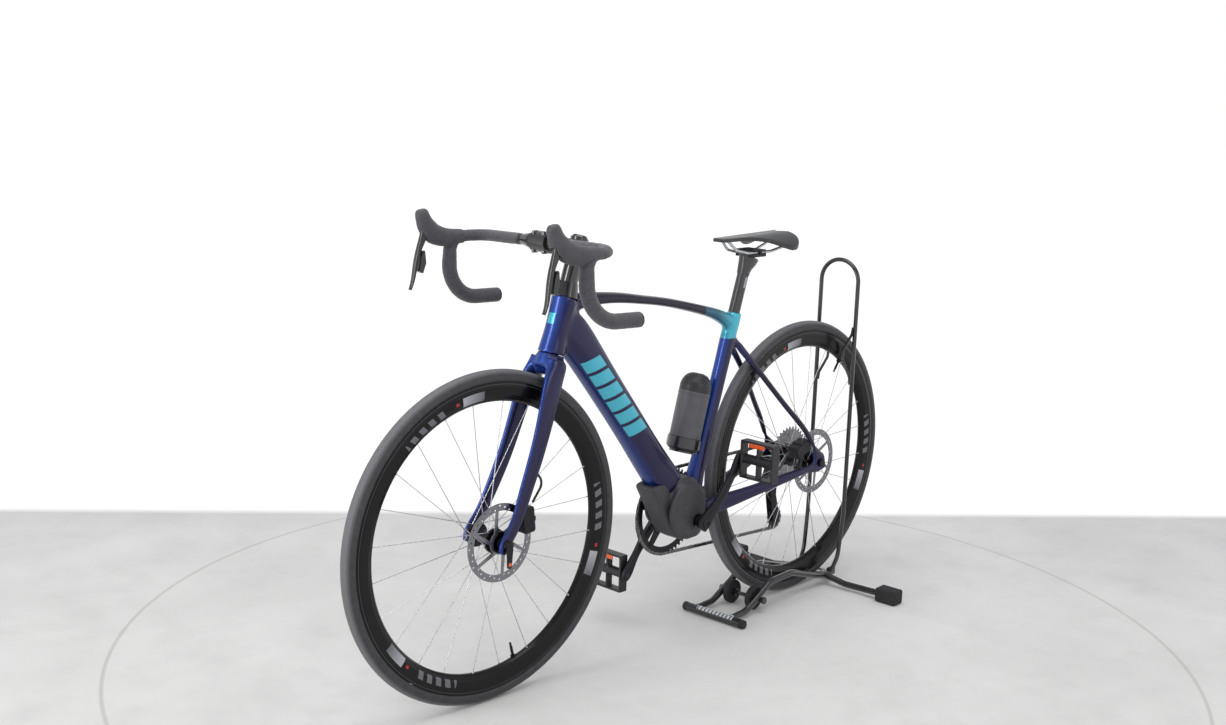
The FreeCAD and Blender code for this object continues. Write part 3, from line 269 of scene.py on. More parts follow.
# ---------------------------------------------------------------- painted patterns
NAVY = srgb(18, 12, 68)
NAVY_DEEP = srgb(13, 8, 52)
# painted highlight: the brighter blue given to lacquer faces turned forwards or back
BLUE_PAINTED_HIGHLIGHT = srgb(16, 58, 142)
VIOLET = srgb(28, 20, 42)
TURQUOISE = srgb(70, 176, 198)
TEAL = srgb(34, 92, 118)
PALE = srgb(150, 152, 158)
TUBE_TOP = at(838, 0, 764)
TUBE_LOW = at(484, 0, 356)
TUBE_DIR = (TUBE_LOW - TUBE_TOP).normalized()
TUBE_ACROSS = Vector((-TUBE_DIR.z, 0, TUBE_DIR.x))


def x_at(mm):
    """Row-frame X of a place in millimetres forward of the rear axle."""
    return at(mm, 0, 0).x


def painted_flip_highlight(g, shade):
    """Painted highlight: bluer where the lacquer faces forwards or back, standing in for its colour flip
    under the lights; deep navy where it faces sideways.
    """
    along = g.normal_parts()["X"]
    return g.mix(g.step(g.times(along, along), 0.46, 0.75), shade, BLUE_PAINTED_HIGHLIGHT)


def fork_paint(g, shade, rough):
    """The frame's lacquer with nothing drawn on it but the painted bluer highlight on faces turned forwards
    or back.
    """
    return painted_flip_highlight(g, shade), rough


# paint edges on the frame: the _X names are millimetres forward of the rear axle, the rest metres
TOP_REAR_X = 390
TOP_FADE_X = 312
TOP_BEND_X = 690
TOP_FRONT_X = 792
TOP_HALF_X = 600
STAY_FRONT_X = 232
BADGE_REAR_X = 836
BAR_REAR_X = 560
TOP_LINE_Z = 0.7745
TOP_LINE_SLOPE = 0.09
STAY_BLACK = srgb(15, 12, 28)
CLUSTER_LOW_Z = 0.672
BADGE_Z = (0.760, 0.781)
BADGE_HALF = 0.009
BAR_START = 0.1125
BAR_PITCH = 0.0405
BAR_COUNT = 5.9
BAR_HALF_HEIGHT = 0.024
BAR_SLANT = 0.45
TUBE_FLANK_Y = 0.0205


def top_tube_mask(g, x, z):
    """The dark run of the top tube, down to the seat cluster."""
    line = g.math("SUBTRACT", z, g.times(g.math("SUBTRACT", x, x_at(TOP_BEND_X)), TOP_LINE_SLOPE))
    run = g.times(g.step(line, TOP_LINE_Z, 0.003), g.below(x, x_at(TOP_FRONT_X), 0.03))
    return g.math("MAXIMUM", run, g.times(g.below(x, x_at(TOP_HALF_X), 0.01), g.step(z, 0.70, 0.004)))


def down_tube_mask(g, x, y):
    """Plain slanted bars on both flanks of the down tube."""
    along = g.dot(tuple(TUBE_DIR), tuple(TUBE_TOP))
    height = g.dot(tuple(TUBE_ACROSS), tuple(TUBE_TOP))
    slant = g.math("ADD", along, g.times(height, BAR_SLANT))
    row = g.window(slant, BAR_START, BAR_START + BAR_COUNT * BAR_PITCH)
    cell = g.math("FRACT", g.math("DIVIDE", g.math("SUBTRACT", slant, 0.112), BAR_PITCH))
    flank = g.step(g.math("ABSOLUTE", y), TUBE_FLANK_Y, 0.001)
    middle = g.window(height, -BAR_HALF_HEIGHT, BAR_HALF_HEIGHT)
    return g.times(row, g.window(cell, 0.02, 0.80, 0.012), middle, flank, g.step(x, x_at(BAR_REAR_X), 0.002))


def frame_paint(g, shade, rough):
    """Navy frame with a painted bluer highlight on faces turned forwards or back, dark top tube, turquoise
    seat cluster and plain turquoise bars on the down tube.
    """
    x, y, z = g.xyz()
    shade = g.mix(top_tube_mask(g, x, z), painted_flip_highlight(g, shade), VIOLET)
    stays = g.times(g.below(x, x_at(STAY_FRONT_X), 0.03), g.step(z, 0.365, 0.02), 0.75)
    shade = g.mix(stays, shade, STAY_BLACK)
    cluster = g.times(g.below(x, x_at(TOP_REAR_X), 0.004), g.step(z, CLUSTER_LOW_Z, 0.002))
    shade = g.mix(cluster, shade, g.mix(g.below(x, x_at(TOP_FADE_X), 0.07), TEAL, TURQUOISE))
    badge = g.times(g.window(z, *BADGE_Z), g.below(g.math("ABSOLUTE", y), BADGE_HALF),
                    g.step(x, x_at(BADGE_REAR_X), 0.001))
    shade = g.mix(badge, shade, TURQUOISE)
    return g.mix(down_tube_mask(g, x, y), shade, TURQUOISE), rough


RIM_DASH_GREY = srgb(104, 104, 110)
RIM_BLOCK_PALE = srgb(168, 170, 176)
RIM_BLOCK_DARK = srgb(60, 60, 64)
RIM_DOT_RED = srgb(176, 48, 44)
RIM_DASH_BAND = (0.2865, 0.3020)
RIM_BLOCK_BAND = (0.2845, 0.3035)
RIM_DOT_BAND = (0.2925, 0.2985)
RIM_PALE_RING_BAND = (0.3128, 0.3134)
RIM_TURN = 0.055
# shares of a third of a turn
RIM_DASHES = (0.055, 0.235)
RIM_DOT = (0.272, 0.284)
RIM_BLOCK = (0.300, 0.385)
RIM_FADE = 0.110
DASHES_PER_THIRD = 25.0


def rim_paint(centre):
    """Plain dashes, a fading block and a dot, three times round a black rim, and a thin pale ring near its
    edge.
    """
    def paint(g, shade, rough):
        radius, angle = g.radial(tuple(centre))
        turn = g.math("DIVIDE", g.math("ADD", angle, math.pi), 2 * math.pi)
        third = g.math("FRACT", g.times(g.math("ADD", turn, RIM_TURN), 3.0))
        lean = g.math("ADD", third, g.times(radius, 0.55))
        dash = g.times(g.window(third, *RIM_DASHES, 0.002),
                       g.dashes(lean, DASHES_PER_THIRD, 0.06, 0.62, 0.03), g.window(radius, *RIM_DASH_BAND))
        shade = g.mix(dash, shade, RIM_DASH_GREY)
        block = g.times(g.window(third, *RIM_BLOCK, 0.002), g.window(radius, *RIM_BLOCK_BAND))
        fade = g.math("DIVIDE", g.math("SUBTRACT", third, RIM_BLOCK[0]), RIM_FADE, clamp=True)
        shade = g.mix(block, shade, g.mix(fade, RIM_BLOCK_PALE, RIM_BLOCK_DARK))
        dot = g.times(g.window(third, *RIM_DOT, 0.001), g.window(radius, *RIM_DOT_BAND))
        shade = g.mix(dot, shade, RIM_DOT_RED)
        pale_ring = g.times(g.window(radius, *RIM_PALE_RING_BAND, 0.0004), 0.30)
        return g.mix(pale_ring, shade, PALE), rough
    return paint


ROTOR_RINGS = 9000.0
ROTOR_HUB_R = 0.0215
ROTOR_GROUND = srgb(118, 118, 124)
ROTOR_SPIDER = srgb(34, 34, 38)


def rotor_paint(centre):
    """Ground steel band on a dark spider."""
    def paint(g, shade, rough):
        radius, _ = g.radial(tuple(centre))
        rings = g.math("SINE", g.times(radius, ROTOR_RINGS))
        ground = g.math("ADD", 0.5, g.times(rings, 0.12))
        shade = g.mix(ground, shade, ROTOR_GROUND)
        return g.mix(g.below(radius, ROTOR_HUB_R, 0.001), shade, ROTOR_SPIDER), rough
    return paint


def stand_paint(g, shade, rough):
    """Blank pale dashes on top of the front bar."""
    x, y, z = g.xyz()
    label = g.times(g.window(x, x_at(301), x_at(334)), g.window(y, -0.025, 0.080),
                    g.dashes(y, 95.0, 0.10, 0.80, 0.03), g.window(z, 0.0155, 0.0215))
    return g.mix(label, shade, srgb(176, 180, 184)), rough


POST_LABEL_Z = (0.786, 0.810)
POST_LABEL_HALF = 0.0035
POST_LEAN = 0.3096


def post_paint(g, shade, rough):
    """Small blank label on the left of the seatpost."""
    x, y, z = g.xyz()
    lean = g.math("ADD", x, g.times(g.math("SUBTRACT", z, 0.797), POST_LEAN))
    across_post = g.window(lean, x_at(250) - POST_LABEL_HALF, x_at(250) + POST_LABEL_HALF)
    label = g.times(g.window(z, *POST_LABEL_Z), across_post,
                    g.step(y, 0.004, 0.001), g.step(g.normal_parts()["Y"], 0.2, 0.05))
    return g.mix(label, shade, srgb(150, 150, 155)), rough


BOTTLE_LO = at(433, 0, 428)
BOTTLE_DIR = (at(386, 0, 604) - BOTTLE_LO).normalized()
BOTTLE_LID = 0.1345
BOTTLE_BASE = 0.024


def bottle_paint(g, shade, rough):
    """Black lid and base on a grey body."""
    along = g.dot(tuple(BOTTLE_DIR), tuple(BOTTLE_LO))
    dark = g.math("MAXIMUM", g.step(along, BOTTLE_LID, 0.0008), g.below(along, BOTTLE_BASE, 0.0008))
    return g.mix(dark, shade, srgb(30, 30, 33)), rough


TREAD_R = 0.3355


def tyre_paint(centre):
    """Lighter tread over darker side walls: partly dust, partly painted light falling on the tread."""
    def paint(g, shade, rough):
        radius, _ = g.radial(tuple(centre))
        # the tread's lighter grey is partly dust and partly painted light
        dust_and_painted_light = g.times(g.step(radius, TREAD_R, 0.006), 0.75)
        return g.mix(dust_and_painted_light, shade, srgb(112, 112, 115)), rough
    return paint


# ---------------------------------------------------------------- finishes
M = {}
LACQUER = {"metallic": 0.5, "coat": 0.35, "coat_rough": 0.03, "tint_scale": 900.0,
           "grain": (60.0, 0.05, 0.0004)}
M["frame"] = finish("frame_navy_lacquer", NAVY, NAVY_DEEP, 0.34, 0.04, paint=frame_paint, **LACQUER)
M["fork"] = finish("fork_navy_lacquer", NAVY, NAVY_DEEP, 0.34, 0.04, paint=fork_paint, **LACQUER)
M["charcoal"] = finish("shroud_charcoal_moulded", srgb(58, 58, 62), srgb(48, 48, 52), 0.52, 0.06,
                       tint_scale=60.0, grain=(1600.0, 0.25, 0.0003), round_edges=0.0015)
M["cover"] = finish("cover_black_satin", srgb(30, 30, 33), srgb(24, 24, 27), 0.38, 0.05, tint_scale=50.0,
                    grain=(1500.0, 0.15, 0.0003), round_edges=0.0012)
M["gloss"] = finish("black_gloss_lacquer", srgb(20, 20, 22), srgb(14, 14, 16), 0.2, 0.04, coat=0.8,
                    coat_rough=0.05, tint_scale=40.0, grain=(220.0, 0.05, 0.0003), round_edges=0.001)
M["anodised"] = finish("black_anodised", srgb(46, 46, 50), srgb(36, 36, 40), 0.36, 0.06, metallic=0.7,
                       tint_scale=80.0, grain=(1400.0, 0.12, 0.0002), round_edges=0.0008)
M["carbon"] = finish("post_dark_carbon", srgb(48, 48, 51), srgb(38, 38, 41), 0.34, 0.05, coat=0.3,
                     coat_rough=0.15, tint_scale=120.0, grain=(700.0, 0.1, 0.0002), round_edges=0.001,
                     paint=post_paint)
M["steel"] = finish("bright_steel", srgb(200, 200, 204), srgb(168, 168, 174), 0.28, 0.08, metallic=1.0,
                    tint_scale=140.0, grain=(900.0, 0.1, 0.0002), round_edges=0.0005)
M["chain_steel"] = finish("chain_oiled_steel", srgb(150, 150, 152), srgb(96, 94, 92), 0.34, 0.1,
                          metallic=1.0, tint_scale=260.0, grain=(1200.0, 0.1, 0.0002))
M["cog_steel"] = finish("cog_nickel_steel", srgb(172, 172, 176), srgb(120, 118, 118), 0.3, 0.08,
                        metallic=1.0, tint_scale=220.0, grain=(1200.0, 0.1, 0.0002), round_edges=0.0004)
M["silver"] = finish("satin_silver", srgb(206, 208, 212), srgb(182, 184, 190), 0.3, 0.06, metallic=0.9,
                     tint_scale=200.0, grain=(1200.0, 0.08, 0.0002))
M["hose"] = finish("hose_black_rubber", srgb(26, 26, 28), srgb(20, 20, 22), 0.45, 0.06, tint_scale=80.0,
                   grain=(900.0, 0.1, 0.0002))
M["tape"] = finish("tape_soft_grey", srgb(74, 74, 79), srgb(62, 62, 67), 0.68, 0.06, tint_scale=160.0,
                   grain=(1500.0, 0.5, 0.0005), sheen=0.25, spec=0.35)
M["hood"] = finish("hood_soft_rubber", srgb(70, 70, 75), srgb(60, 60, 65), 0.58, 0.05, tint_scale=90.0,
                   grain=(2200.0, 0.35, 0.0004), sheen=0.15, spec=0.4)
M["lever"] = finish("lever_satin_black", srgb(28, 28, 30), srgb(20, 20, 22), 0.26, 0.05, coat=0.4,
                    coat_rough=0.1, tint_scale=60.0, grain=(400.0, 0.05, 0.0002), round_edges=0.0012)
M["bottle"] = finish("bottle_grey_satin", srgb(82, 82, 87), srgb(72, 72, 77), 0.42, 0.05, tint_scale=40.0,
                     grain=(1600.0, 0.12, 0.0002), round_edges=0.0012, paint=bottle_paint)
M["saddle_top"] = finish("saddle_gloss_black", srgb(32, 32, 34), srgb(24, 24, 26), 0.34, 0.05, coat=0.3,
                         coat_rough=0.18, tint_scale=60.0, grain=(1700.0, 0.25, 0.0003))
# lighter grey for the saddle's sides: partly the side panel's own grey, partly a painted reflection on its
# gloss
M["saddle_side"] = finish("saddle_side_grey", srgb(64, 64, 68), srgb(52, 52, 56), 0.42, 0.05,
                          tint_scale=80.0, grain=(1700.0, 0.3, 0.0003))
M["stand"] = finish("stand_gloss_black", srgb(24, 24, 27), srgb(17, 17, 19), 0.22, 0.05, coat=0.6,
                    coat_rough=0.08, tint_scale=30.0, grain=(140.0, 0.12, 0.0006), paint=stand_paint)
M["rubber"] = finish("foot_matt_rubber", srgb(40, 40, 42), srgb(32, 32, 34), 0.72, 0.06, tint_scale=50.0,
                     grain=(1100.0, 0.4, 0.0005), round_edges=0.0015, spec=0.35)
M["pedal"] = finish("pedal_moulded_black", srgb(34, 34, 37), srgb(26, 26, 29), 0.4, 0.08, tint_scale=90.0,
                    grain=(1300.0, 0.2, 0.0003))
M["orange"] = finish("reflector_orange", srgb(226, 96, 30), srgb(206, 78, 22), 0.22, 0.05, coat=0.7,
                     coat_rough=0.05, tint_scale=240.0, grain=(900.0, 0.5, 0.0006))
M["dark_screw"] = finish("screw_black_oxide", srgb(52, 52, 55), srgb(38, 38, 42), 0.34, 0.06, metallic=0.9,
                         tint_scale=300.0, grain=(1500.0, 0.1, 0.0002))
for tag, centre in (("front", FRONT), ("rear", REAR)):
    M[tag + "_rim"] = finish(tag + "_rim_gloss_black", srgb(12, 12, 13), srgb(7, 7, 8), 0.24, 0.04,
                             coat=0.12, coat_rough=0.06, spec=0.2, tint_scale=40.0,
                             grain=(300.0, 0.04, 0.0003), paint=rim_paint(centre))
    M[tag + "_spokes"] = finish(tag + "_spoke_steel", srgb(214, 214, 218), srgb(186, 186, 192), 0.28, 0.05,
                                metallic=0.9, tint_scale=90.0, grain=(900.0, 0.05, 0.0002))
    M[tag + "_rotor"] = finish(tag + "_rotor_steel", srgb(160, 160, 166), srgb(132, 132, 138), 0.3, 0.06,
                               metallic=1.0, tint_scale=120.0, grain=(900.0, 0.05, 0.0002),
                               paint=rotor_paint(centre))
    M[tag + "_tyre"] = finish(tag + "_tyre_rubber", srgb(62, 62, 65), srgb(50, 50, 53), 0.6, 0.07,
                              tint_scale=70.0, grain=(1300.0, 0.35, 0.0004), spec=0.4,
                              paint=tyre_paint(centre))

CAD_FINISH = {
    "stand_hoop": "stand", "stand_base": "stand", "stand_bar": "stand", "stand_ties": "stand",
    "stand_feet": "rubber", "stand_roller_left": "rubber", "stand_roller_right": "rubber",
    "headset_bearings": "steel", "motor_unit": "cover", "motor_covers": "cover", "motor_shroud": "charcoal",
    "rear_axle": "anodised", "rear_caliper": "anodised", "rear_hose": "hose", "bottle_cage": "gloss",
    "bottle_battery": "bottle", "derailleur_body": "anodised", "derailleur_cage": "anodised",
    "jockey_upper": "cover", "jockey_lower": "cover", "cassette": "cog_steel", "chainring": "anodised",
    "pedal_left": "anodised", "pedal_right": "anodised", "spacers": "gloss", "stem": "gloss",
    "faceplate": "gloss", "handlebar": "gloss", "lever_left": "lever", "lever_right": "lever",
    "paddle_left": "lever", "paddle_right": "lever", "front_axle": "anodised", "front_caliper": "anodised",
    "front_hose": "hose", "seatpost": "carbon", "saddle_clamp": "anodised", "saddle_rails": "silver",
    "head_tube": "frame", "down_tube": "frame", "top_tube": "frame", "seat_tube": "frame",
    "chainstays": "frame", "seatstays": "frame", "fork": "fork", "crank_arms": "anodised", "hoods": "hood",
    "bar_tape": "tape", "saddle": "saddle_top", "chain": "chain_steel", "front_tyre": "front_tyre",
    "rear_tyre": "rear_tyre", "front_rim": "front_rim", "rear_rim": "rear_rim",
    "front_spokes": "front_spokes", "rear_spokes": "rear_spokes", "front_hub": "anodised",
    "rear_hub": "anodised", "front_rotor": "front_rotor", "rear_rotor": "rear_rotor",
}
for node, key in CAD_FINISH.items():
    mesh = NODES[node].data
    mesh.materials.clear()
    mesh.materials.append(M[key])


# ---------------------------------------------------------------- mesh helpers
def made(name, verts, faces, key, body, turn=IDENTITY, smooth=True, sharp=None):
    """A new piece from vertices in the row frame, riding on a body."""
    mesh = bpy.data.meshes.new(name)
    mesh.from_pydata([tuple(turn @ Vector(v)) for v in verts], [], faces)
    mesh.update()
    return placed(name, mesh, key, body, smooth, sharp)


def placed(name, mesh, key, body, smooth=True, sharp=None):
    """Wrap a mesh as a piece that rides on a body."""
    bm = bmesh.new()
    bm.from_mesh(mesh)
    bmesh.ops.recalc_face_normals(bm, faces=bm.faces)
    if sharp is not None:
        for e in bm.edges:
            e.smooth = not (len(e.link_faces) == 2 and e.calc_face_angle(0.0) > math.radians(sharp))
    bm.to_mesh(mesh)
    bm.free()
    mesh.polygons.foreach_set("use_smooth", [smooth] * len(mesh.polygons))
    mesh.materials.clear()
    mesh.materials.append(M[key])
    obj = bpy.data.objects.new(name, mesh)
    bpy.context.scene.collection.objects.link(obj)
    if body:
        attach(obj, body)
    return obj


def evaluated_mesh(obj):
    """The object's mesh with its modifiers applied, the temporary object removed."""
    bpy.context.view_layer.update()
    dg = bpy.context.evaluated_depsgraph_get()
    mesh = bpy.data.meshes.new_from_object(obj.evaluated_get(dg))
    bpy.data.objects.remove(obj)
    return mesh


JOINT_REACH = 1.6


def joint_weights(mesh, nodes, near):
    """How close each vertex is to a second CAD node, 1 at the joint and 0 beyond near."""
    trees = []
    for n in nodes:
        src = NODES[n].data
        trees.append(BVHTree.FromPolygons([v.co for v in src.vertices], [p.vertices for p in src.polygons]))
    out = []
    for v in mesh.vertices:
        found = []
        for tree in trees:
            hit = tree.find_nearest(v.co, near * JOINT_REACH)
            if hit[0] is not None:
                found.append(hit[3])
        found.sort()
        out.append(clamp01(JOINT_REACH - found[1] / near) if len(found) > 1 else 0.0)
    return out


def blended(mesh, name, weights, rounds):
    """The mesh smoothed again where weights say, which rounds its joints into fillets."""
    obj = bpy.data.objects.new(name + "_fillet", mesh)
    bpy.context.scene.collection.objects.link(obj)
    group = obj.vertex_groups.new(name="fillet")
    for i, w in enumerate(weights):
        if w > 0.0:
            group.add([i], w, "REPLACE")
    fillet = obj.modifiers.new("fillet", "SMOOTH")
    fillet.factor = 0.5
    fillet.iterations = rounds
    fillet.vertex_group = "fillet"
    return evaluated_mesh(obj)


def hull_mesh(points):
    """Closed convex solid round some points."""
    bm = bmesh.new()
    for p in points:
        bm.verts.new(p)
    found = bmesh.ops.convex_hull(bm, input=bm.verts)
    spare = {v for key in ("geom_interior", "geom_unused") for v in found[key]
             if isinstance(v, bmesh.types.BMVert)}
    bmesh.ops.delete(bm, geom=list(spare), context="VERTS")
    mesh = bpy.data.meshes.new("hull")
    bm.to_mesh(mesh)
    bm.free()
    return mesh


def moulded(name, nodes, voxel, rounds, key, body, shape=None, fillet=None, extra=()):
    """One smooth moulding made round CAD nodes, which it replaces.

    voxel is the remesh's cell in metres and rounds its smoothing passes. shape moves single points,
    fillet gives each point's share of extra smoothing, and extra adds solids to the CAD ones.
    """
    bm = bmesh.new()
    for n in nodes:
        bm.from_mesh(NODES[n].data)
    for solid in extra:
        bm.from_mesh(solid)
    bmesh.ops.remove_doubles(bm, verts=bm.verts, dist=1e-6)
    mesh = bpy.data.meshes.new(name + "_raw")
    bm.to_mesh(mesh)
    bm.free()
    raw = bpy.data.objects.new(name + "_raw", mesh)
    bpy.context.scene.collection.objects.link(raw)
    remesh = raw.modifiers.new("remesh", "REMESH")
    remesh.mode = "VOXEL"
    remesh.voxel_size = voxel
    soften = raw.modifiers.new("soften", "SMOOTH")
    soften.factor = 0.5
    soften.iterations = rounds
    result = evaluated_mesh(raw)
    if fillet is not None:
        result = blended(result, name, fillet(result), FILLET_ROUNDS)
    if shape:
        for v in result.vertices:
            v.co = shape(v.co.copy())
    piece = placed(name, result, key, body)
    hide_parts(*nodes)
    return piece


def ring_mesh(rings, closed_path=False):
    """Faces that join rings of equal length, capped at both ends unless the path is closed."""
    n = len(rings[0])
    count = len(rings)
    verts = [p for ring in rings for p in ring]
    faces = []
    for i in range(count if closed_path else count - 1):
        a, b = i * n, ((i + 1) % count) * n
        for k in range(n):
            k2 = (k + 1) % n
            faces.append((a + k, a + k2, b + k2, b + k))
    if not closed_path:
        faces.append(tuple(range(n - 1, -1, -1)))
        faces.append(tuple((count - 1) * n + k for k in range(n)))
    return verts, faces


def join(parts):
    """Vertices and faces of several pieces as one."""
    verts, faces = [], []
    for part_verts, part_faces in parts:
        base = len(verts)
        verts.extend(part_verts)
        faces.extend(tuple(i + base for i in f) for f in part_faces)
    return verts, faces


def circle(centre, side, up, r, steps):
    """Points round a centre."""
    return [centre + (side * math.cos(a) + up * math.sin(a)) * r for a in turns(steps)]


def lathe(profile, centre, axis, steps=32):
    """A turned shape; profile is (distance along axis, radius)."""
    axis, side, up = across(axis)
    return ring_mesh([circle(Vector(centre) + axis * s, side, up, r, steps) for s, r in profile])


def rounded_path(corners, radii, step):
    """Points along straight runs joined by arcs, a step apart."""
    pts = [Vector(c) for c in corners]
    marks = [pts[0]]
    for i in range(1, len(pts) - 1):
        r = radii[i - 1]
        a, b = (pts[i - 1] - pts[i]).normalized(), (pts[i + 1] - pts[i]).normalized()
        half = a.angle(b) / 2
        reach = r / math.tan(half)
        p, q = pts[i] + a * reach, pts[i] + b * reach
        c = pts[i] + (a + b).normalized() * (r / math.sin(half))
        sweep = math.pi - 2 * half
        parts = max(6, int(sweep * r / step))
        for k in range(parts + 1):
            t = k / parts
            marks.append(c + (p - c).normalized().slerp((q - c).normalized(), t) * r)
    marks.append(pts[-1])
    out = [marks[0]]
    for i in range(1, len(marks)):
        run = marks[i] - marks[i - 1]
        parts = max(1, int(run.length / step))
        for k in range(1, parts + 1):
            out.append(marks[i - 1] + run * (k / parts))
    return out


def frames(points, up):
    """Tangent, side and up at each path point, carried without twist."""
    out = []
    side = None
    for i, p in enumerate(points):
        t = (points[min(i + 1, len(points) - 1)] - points[max(i - 1, 0)]).normalized()
        if side is None:
            side = t.cross(Vector(up)).normalized()
        side = (side - t * side.dot(t)).normalized()
        out.append((t, side, side.cross(t).normalized()))
    return out


# ---------------------------------------------------------------- frame and fork mouldings
FILLET_ROUNDS = 70
FRAME_TUBES = ["head_tube", "down_tube", "top_tube", "seat_tube", "chainstays", "seatstays"]
moulded("frame_moulding", FRAME_TUBES, 0.0021, 9, "frame", "bike_frame",
        fillet=lambda mesh: joint_weights(mesh, FRAME_TUBES, 0.014))
CROWN_TOP_Z = 0.6955
CROWN_TOP_R = 0.0270
BLADE_TOP = (864, 28, 669)
BLADE_HALF_FORE = 0.023
BLADE_HALF_SIDE = 0.0125


def crown_bridge():
    """Solid web between the steering collar and the tops of both blades."""
    lean = Vector((math.sin(HEAD_LEAN), 0, -math.cos(HEAD_LEAN)))
    fore = Vector((math.cos(HEAD_LEAN), 0, math.sin(HEAD_LEAN)))
    top = HEAD + lean * ((HEAD.z - CROWN_TOP_Z) / math.cos(HEAD_LEAN))
    points = []
    for a in turns(32):
        c, sn = math.cos(a), math.sin(a)
        points.append(top + fore * (CROWN_TOP_R * c) + Vector((0, CROWN_TOP_R * sn, 0)))
        for side in (1, -1):
            blade = at(BLADE_TOP[0], side * BLADE_TOP[1], BLADE_TOP[2])
            points.append(blade + fore * (BLADE_HALF_FORE * c) + Vector((0, BLADE_HALF_SIDE * sn, 0)))
    return hull_mesh([STEER_TURN @ p for p in points])


moulded("fork_moulding", ["fork"], 0.0018, 7, "fork", "steering", extra=[crown_bridge()],
        fillet=lambda mesh: [clamp01((v.co.z - 0.625) / 0.02) * clamp01((0.691 - v.co.z) / 0.006)
                             for v in mesh.vertices])
CASING = ["motor_unit", "motor_covers", "motor_shroud"]
moulded("motor_casing", CASING, 0.0019, 8, "charcoal", "bike_frame",
        fillet=lambda mesh: joint_weights(mesh, CASING, 0.008))
moulded("crank_forgings", ["crank_arms"], 0.0014, 5, "anodised", "crankset")
moulded("hood_covers", ["hoods"], 0.0012, 8, "hood", "steering")
for word in ("left", "right"):
    moulded("pedal_cage_" + word, ["pedal_" + word], 0.0011, 7, "pedal", "pedal_" + word)


# ---------------------------------------------------------------- tyres
TYRE_MID = 0.326
TYRE_SECTION = 0.015
TYRE_INNER = 0.0124
TYRE_STEPS = 480
# angles in degrees from the middle of the tread, on the outside and on the inside
TYRE_HALF = (0, 5, 9, 13, 20, 28, 36, 43, 47, 52, 60, 72, 84, 96, 100, 104, 108, 116, 125)
TYRE_INSIDE = (121, 90, 45, 0, -45, -90, -121)
TREAD_EDGE = 43
TREAD_RISE = 0.0002
TREAD_LANE = 9
SIPE_EVERY = 8
SIPE_DEPTH = 0.0011


def tyre_radius(deg, k):
    """Section radius at an angle from the tread's middle, k steps round the wheel."""
    if deg <= TREAD_EDGE:
        lane = deg // TREAD_LANE
        siped = 12 < deg < 40 and (k + lane * 2) % SIPE_EVERY == 0
        return TYRE_SECTION + TREAD_RISE - (SIPE_DEPTH if siped else 0.0)
    if deg <= 52:
        return TYRE_SECTION - 0.0003
    if 99 < deg < 105:
        return TYRE_SECTION + 0.0005
    return TYRE_SECTION - (0.0002 if deg > 120 else 0.0)


def tyre_point(r, deg, a):
    """A point of the section at radius r and an angle in degrees, a radians round the wheel."""
    phi = math.radians(deg)
    reach = TYRE_MID + r * math.cos(phi)
    return Vector((reach * math.cos(a), r * math.sin(phi), reach * math.sin(a)))


def tyre(name, centre, body, key, node, turn):
    """Tyre with a siped tread, a groove beside it and a line over the bead."""
    outside = [-d for d in reversed(TYRE_HALF[1:])] + list(TYRE_HALF)
    rings = []
    for k, a in enumerate(turns(TYRE_STEPS)):
        rings.append([tyre_point(tyre_radius(abs(d), k), d, a) for d in outside]
                     + [tyre_point(TYRE_INNER, d, a) for d in TYRE_INSIDE])
    verts, faces = ring_mesh(rings, closed_path=True)
    offset = Vector(centre)
    piece = made(name, [v + offset for v in verts], faces, key, body, turn)
    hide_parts(node)
    return piece


tyre("rear_tyre_tread", REAR, "rear_wheel", "rear_tyre", "rear_tyre", IDENTITY)
tyre("front_tyre_tread", at(1015, 0, 341), "front_wheel", "front_tyre", "front_tyre", STEER_TURN)


# ---------------------------------------------------------------- bar tape
TAPE_PITCH = 0.021
TAPE_STEP = 0.0009
TAPE_SIDES = 40
TAPE_CORNERS = [(877, 66, 925), (877, 200, 924), (951, 206, 921), (951, 212, 794), (820, 215, 791)]
TAPE_BENDS = [0.042, 0.030, 0.076]
TAPE_HALF_W = 0.0150
TAPE_HALF_H = 0.0117
TAPE_ROUND_FROM = 0.185
TAPE_ROUND_RUN = 0.05
TAPE_PLAIN_START = 0.022
TAPE_PLAIN_END = 0.004
TAPE_PLAIN = 0.0002
LAP_STEP = 0.0009
LAP_EDGE = 0.10
LAP_FALL = 0.00035


def lap_depth(length, total, a, side):
    """How far the tape lies in from its outline, where its turns overlap."""
    if length < TAPE_PLAIN_START or length > total - TAPE_PLAIN_END:
        return TAPE_PLAIN
    lap = (length / TAPE_PITCH + side * a / (2 * math.pi)) % 1.0
    return LAP_STEP * (1.0 - min(1.0, lap / LAP_EDGE)) - LAP_FALL * lap


def tape(side):
    """One side's wound tape, flattened on the tops and rounder from the hood down."""
    corners = [at(x, side * y, z) for x, y, z in TAPE_CORNERS]
    path = rounded_path(corners, TAPE_BENDS, TAPE_STEP)
    length = 0.0
    rings = []
    total = sum((path[i + 1] - path[i]).length for i in range(len(path) - 1))
    for i, (_, s, u) in enumerate(frames(path, (0, 0, 1))):
        if i:
            length += (path[i] - path[i - 1]).length
        blend = clamp01((length - TAPE_ROUND_FROM) / TAPE_ROUND_RUN)
        half_w = TAPE_HALF_W + blend * 0.0002
        half_h = TAPE_HALF_H + blend * 0.0035
        taper = 0.72 + 0.28 * clamp01(length / 0.004)
        ring = []
        for a in turns(TAPE_SIDES):
            edge = lap_depth(length, total, a, side)
            c, sn = math.cos(a), math.sin(a)
            ring.append(path[i] + s * (c * (half_w * taper - edge)) + u * (sn * (half_h * taper - edge)))
        rings.append(ring)
    return ring_mesh(rings)


PLUG_PROFILE = [(-0.001, 0.0120), (-0.0005, 0.0153), (0.0022, 0.0153), (0.0036, 0.0143), (0.0040, 0.0125),
                (0.0034, 0.0085), (0.0034, 0.0045), (0.0039, 0.0035)]
BAND_PROFILE = [(-0.002, 0.0106), (-0.002, 0.0113), (0.010, 0.0122), (0.010, 0.0100)]

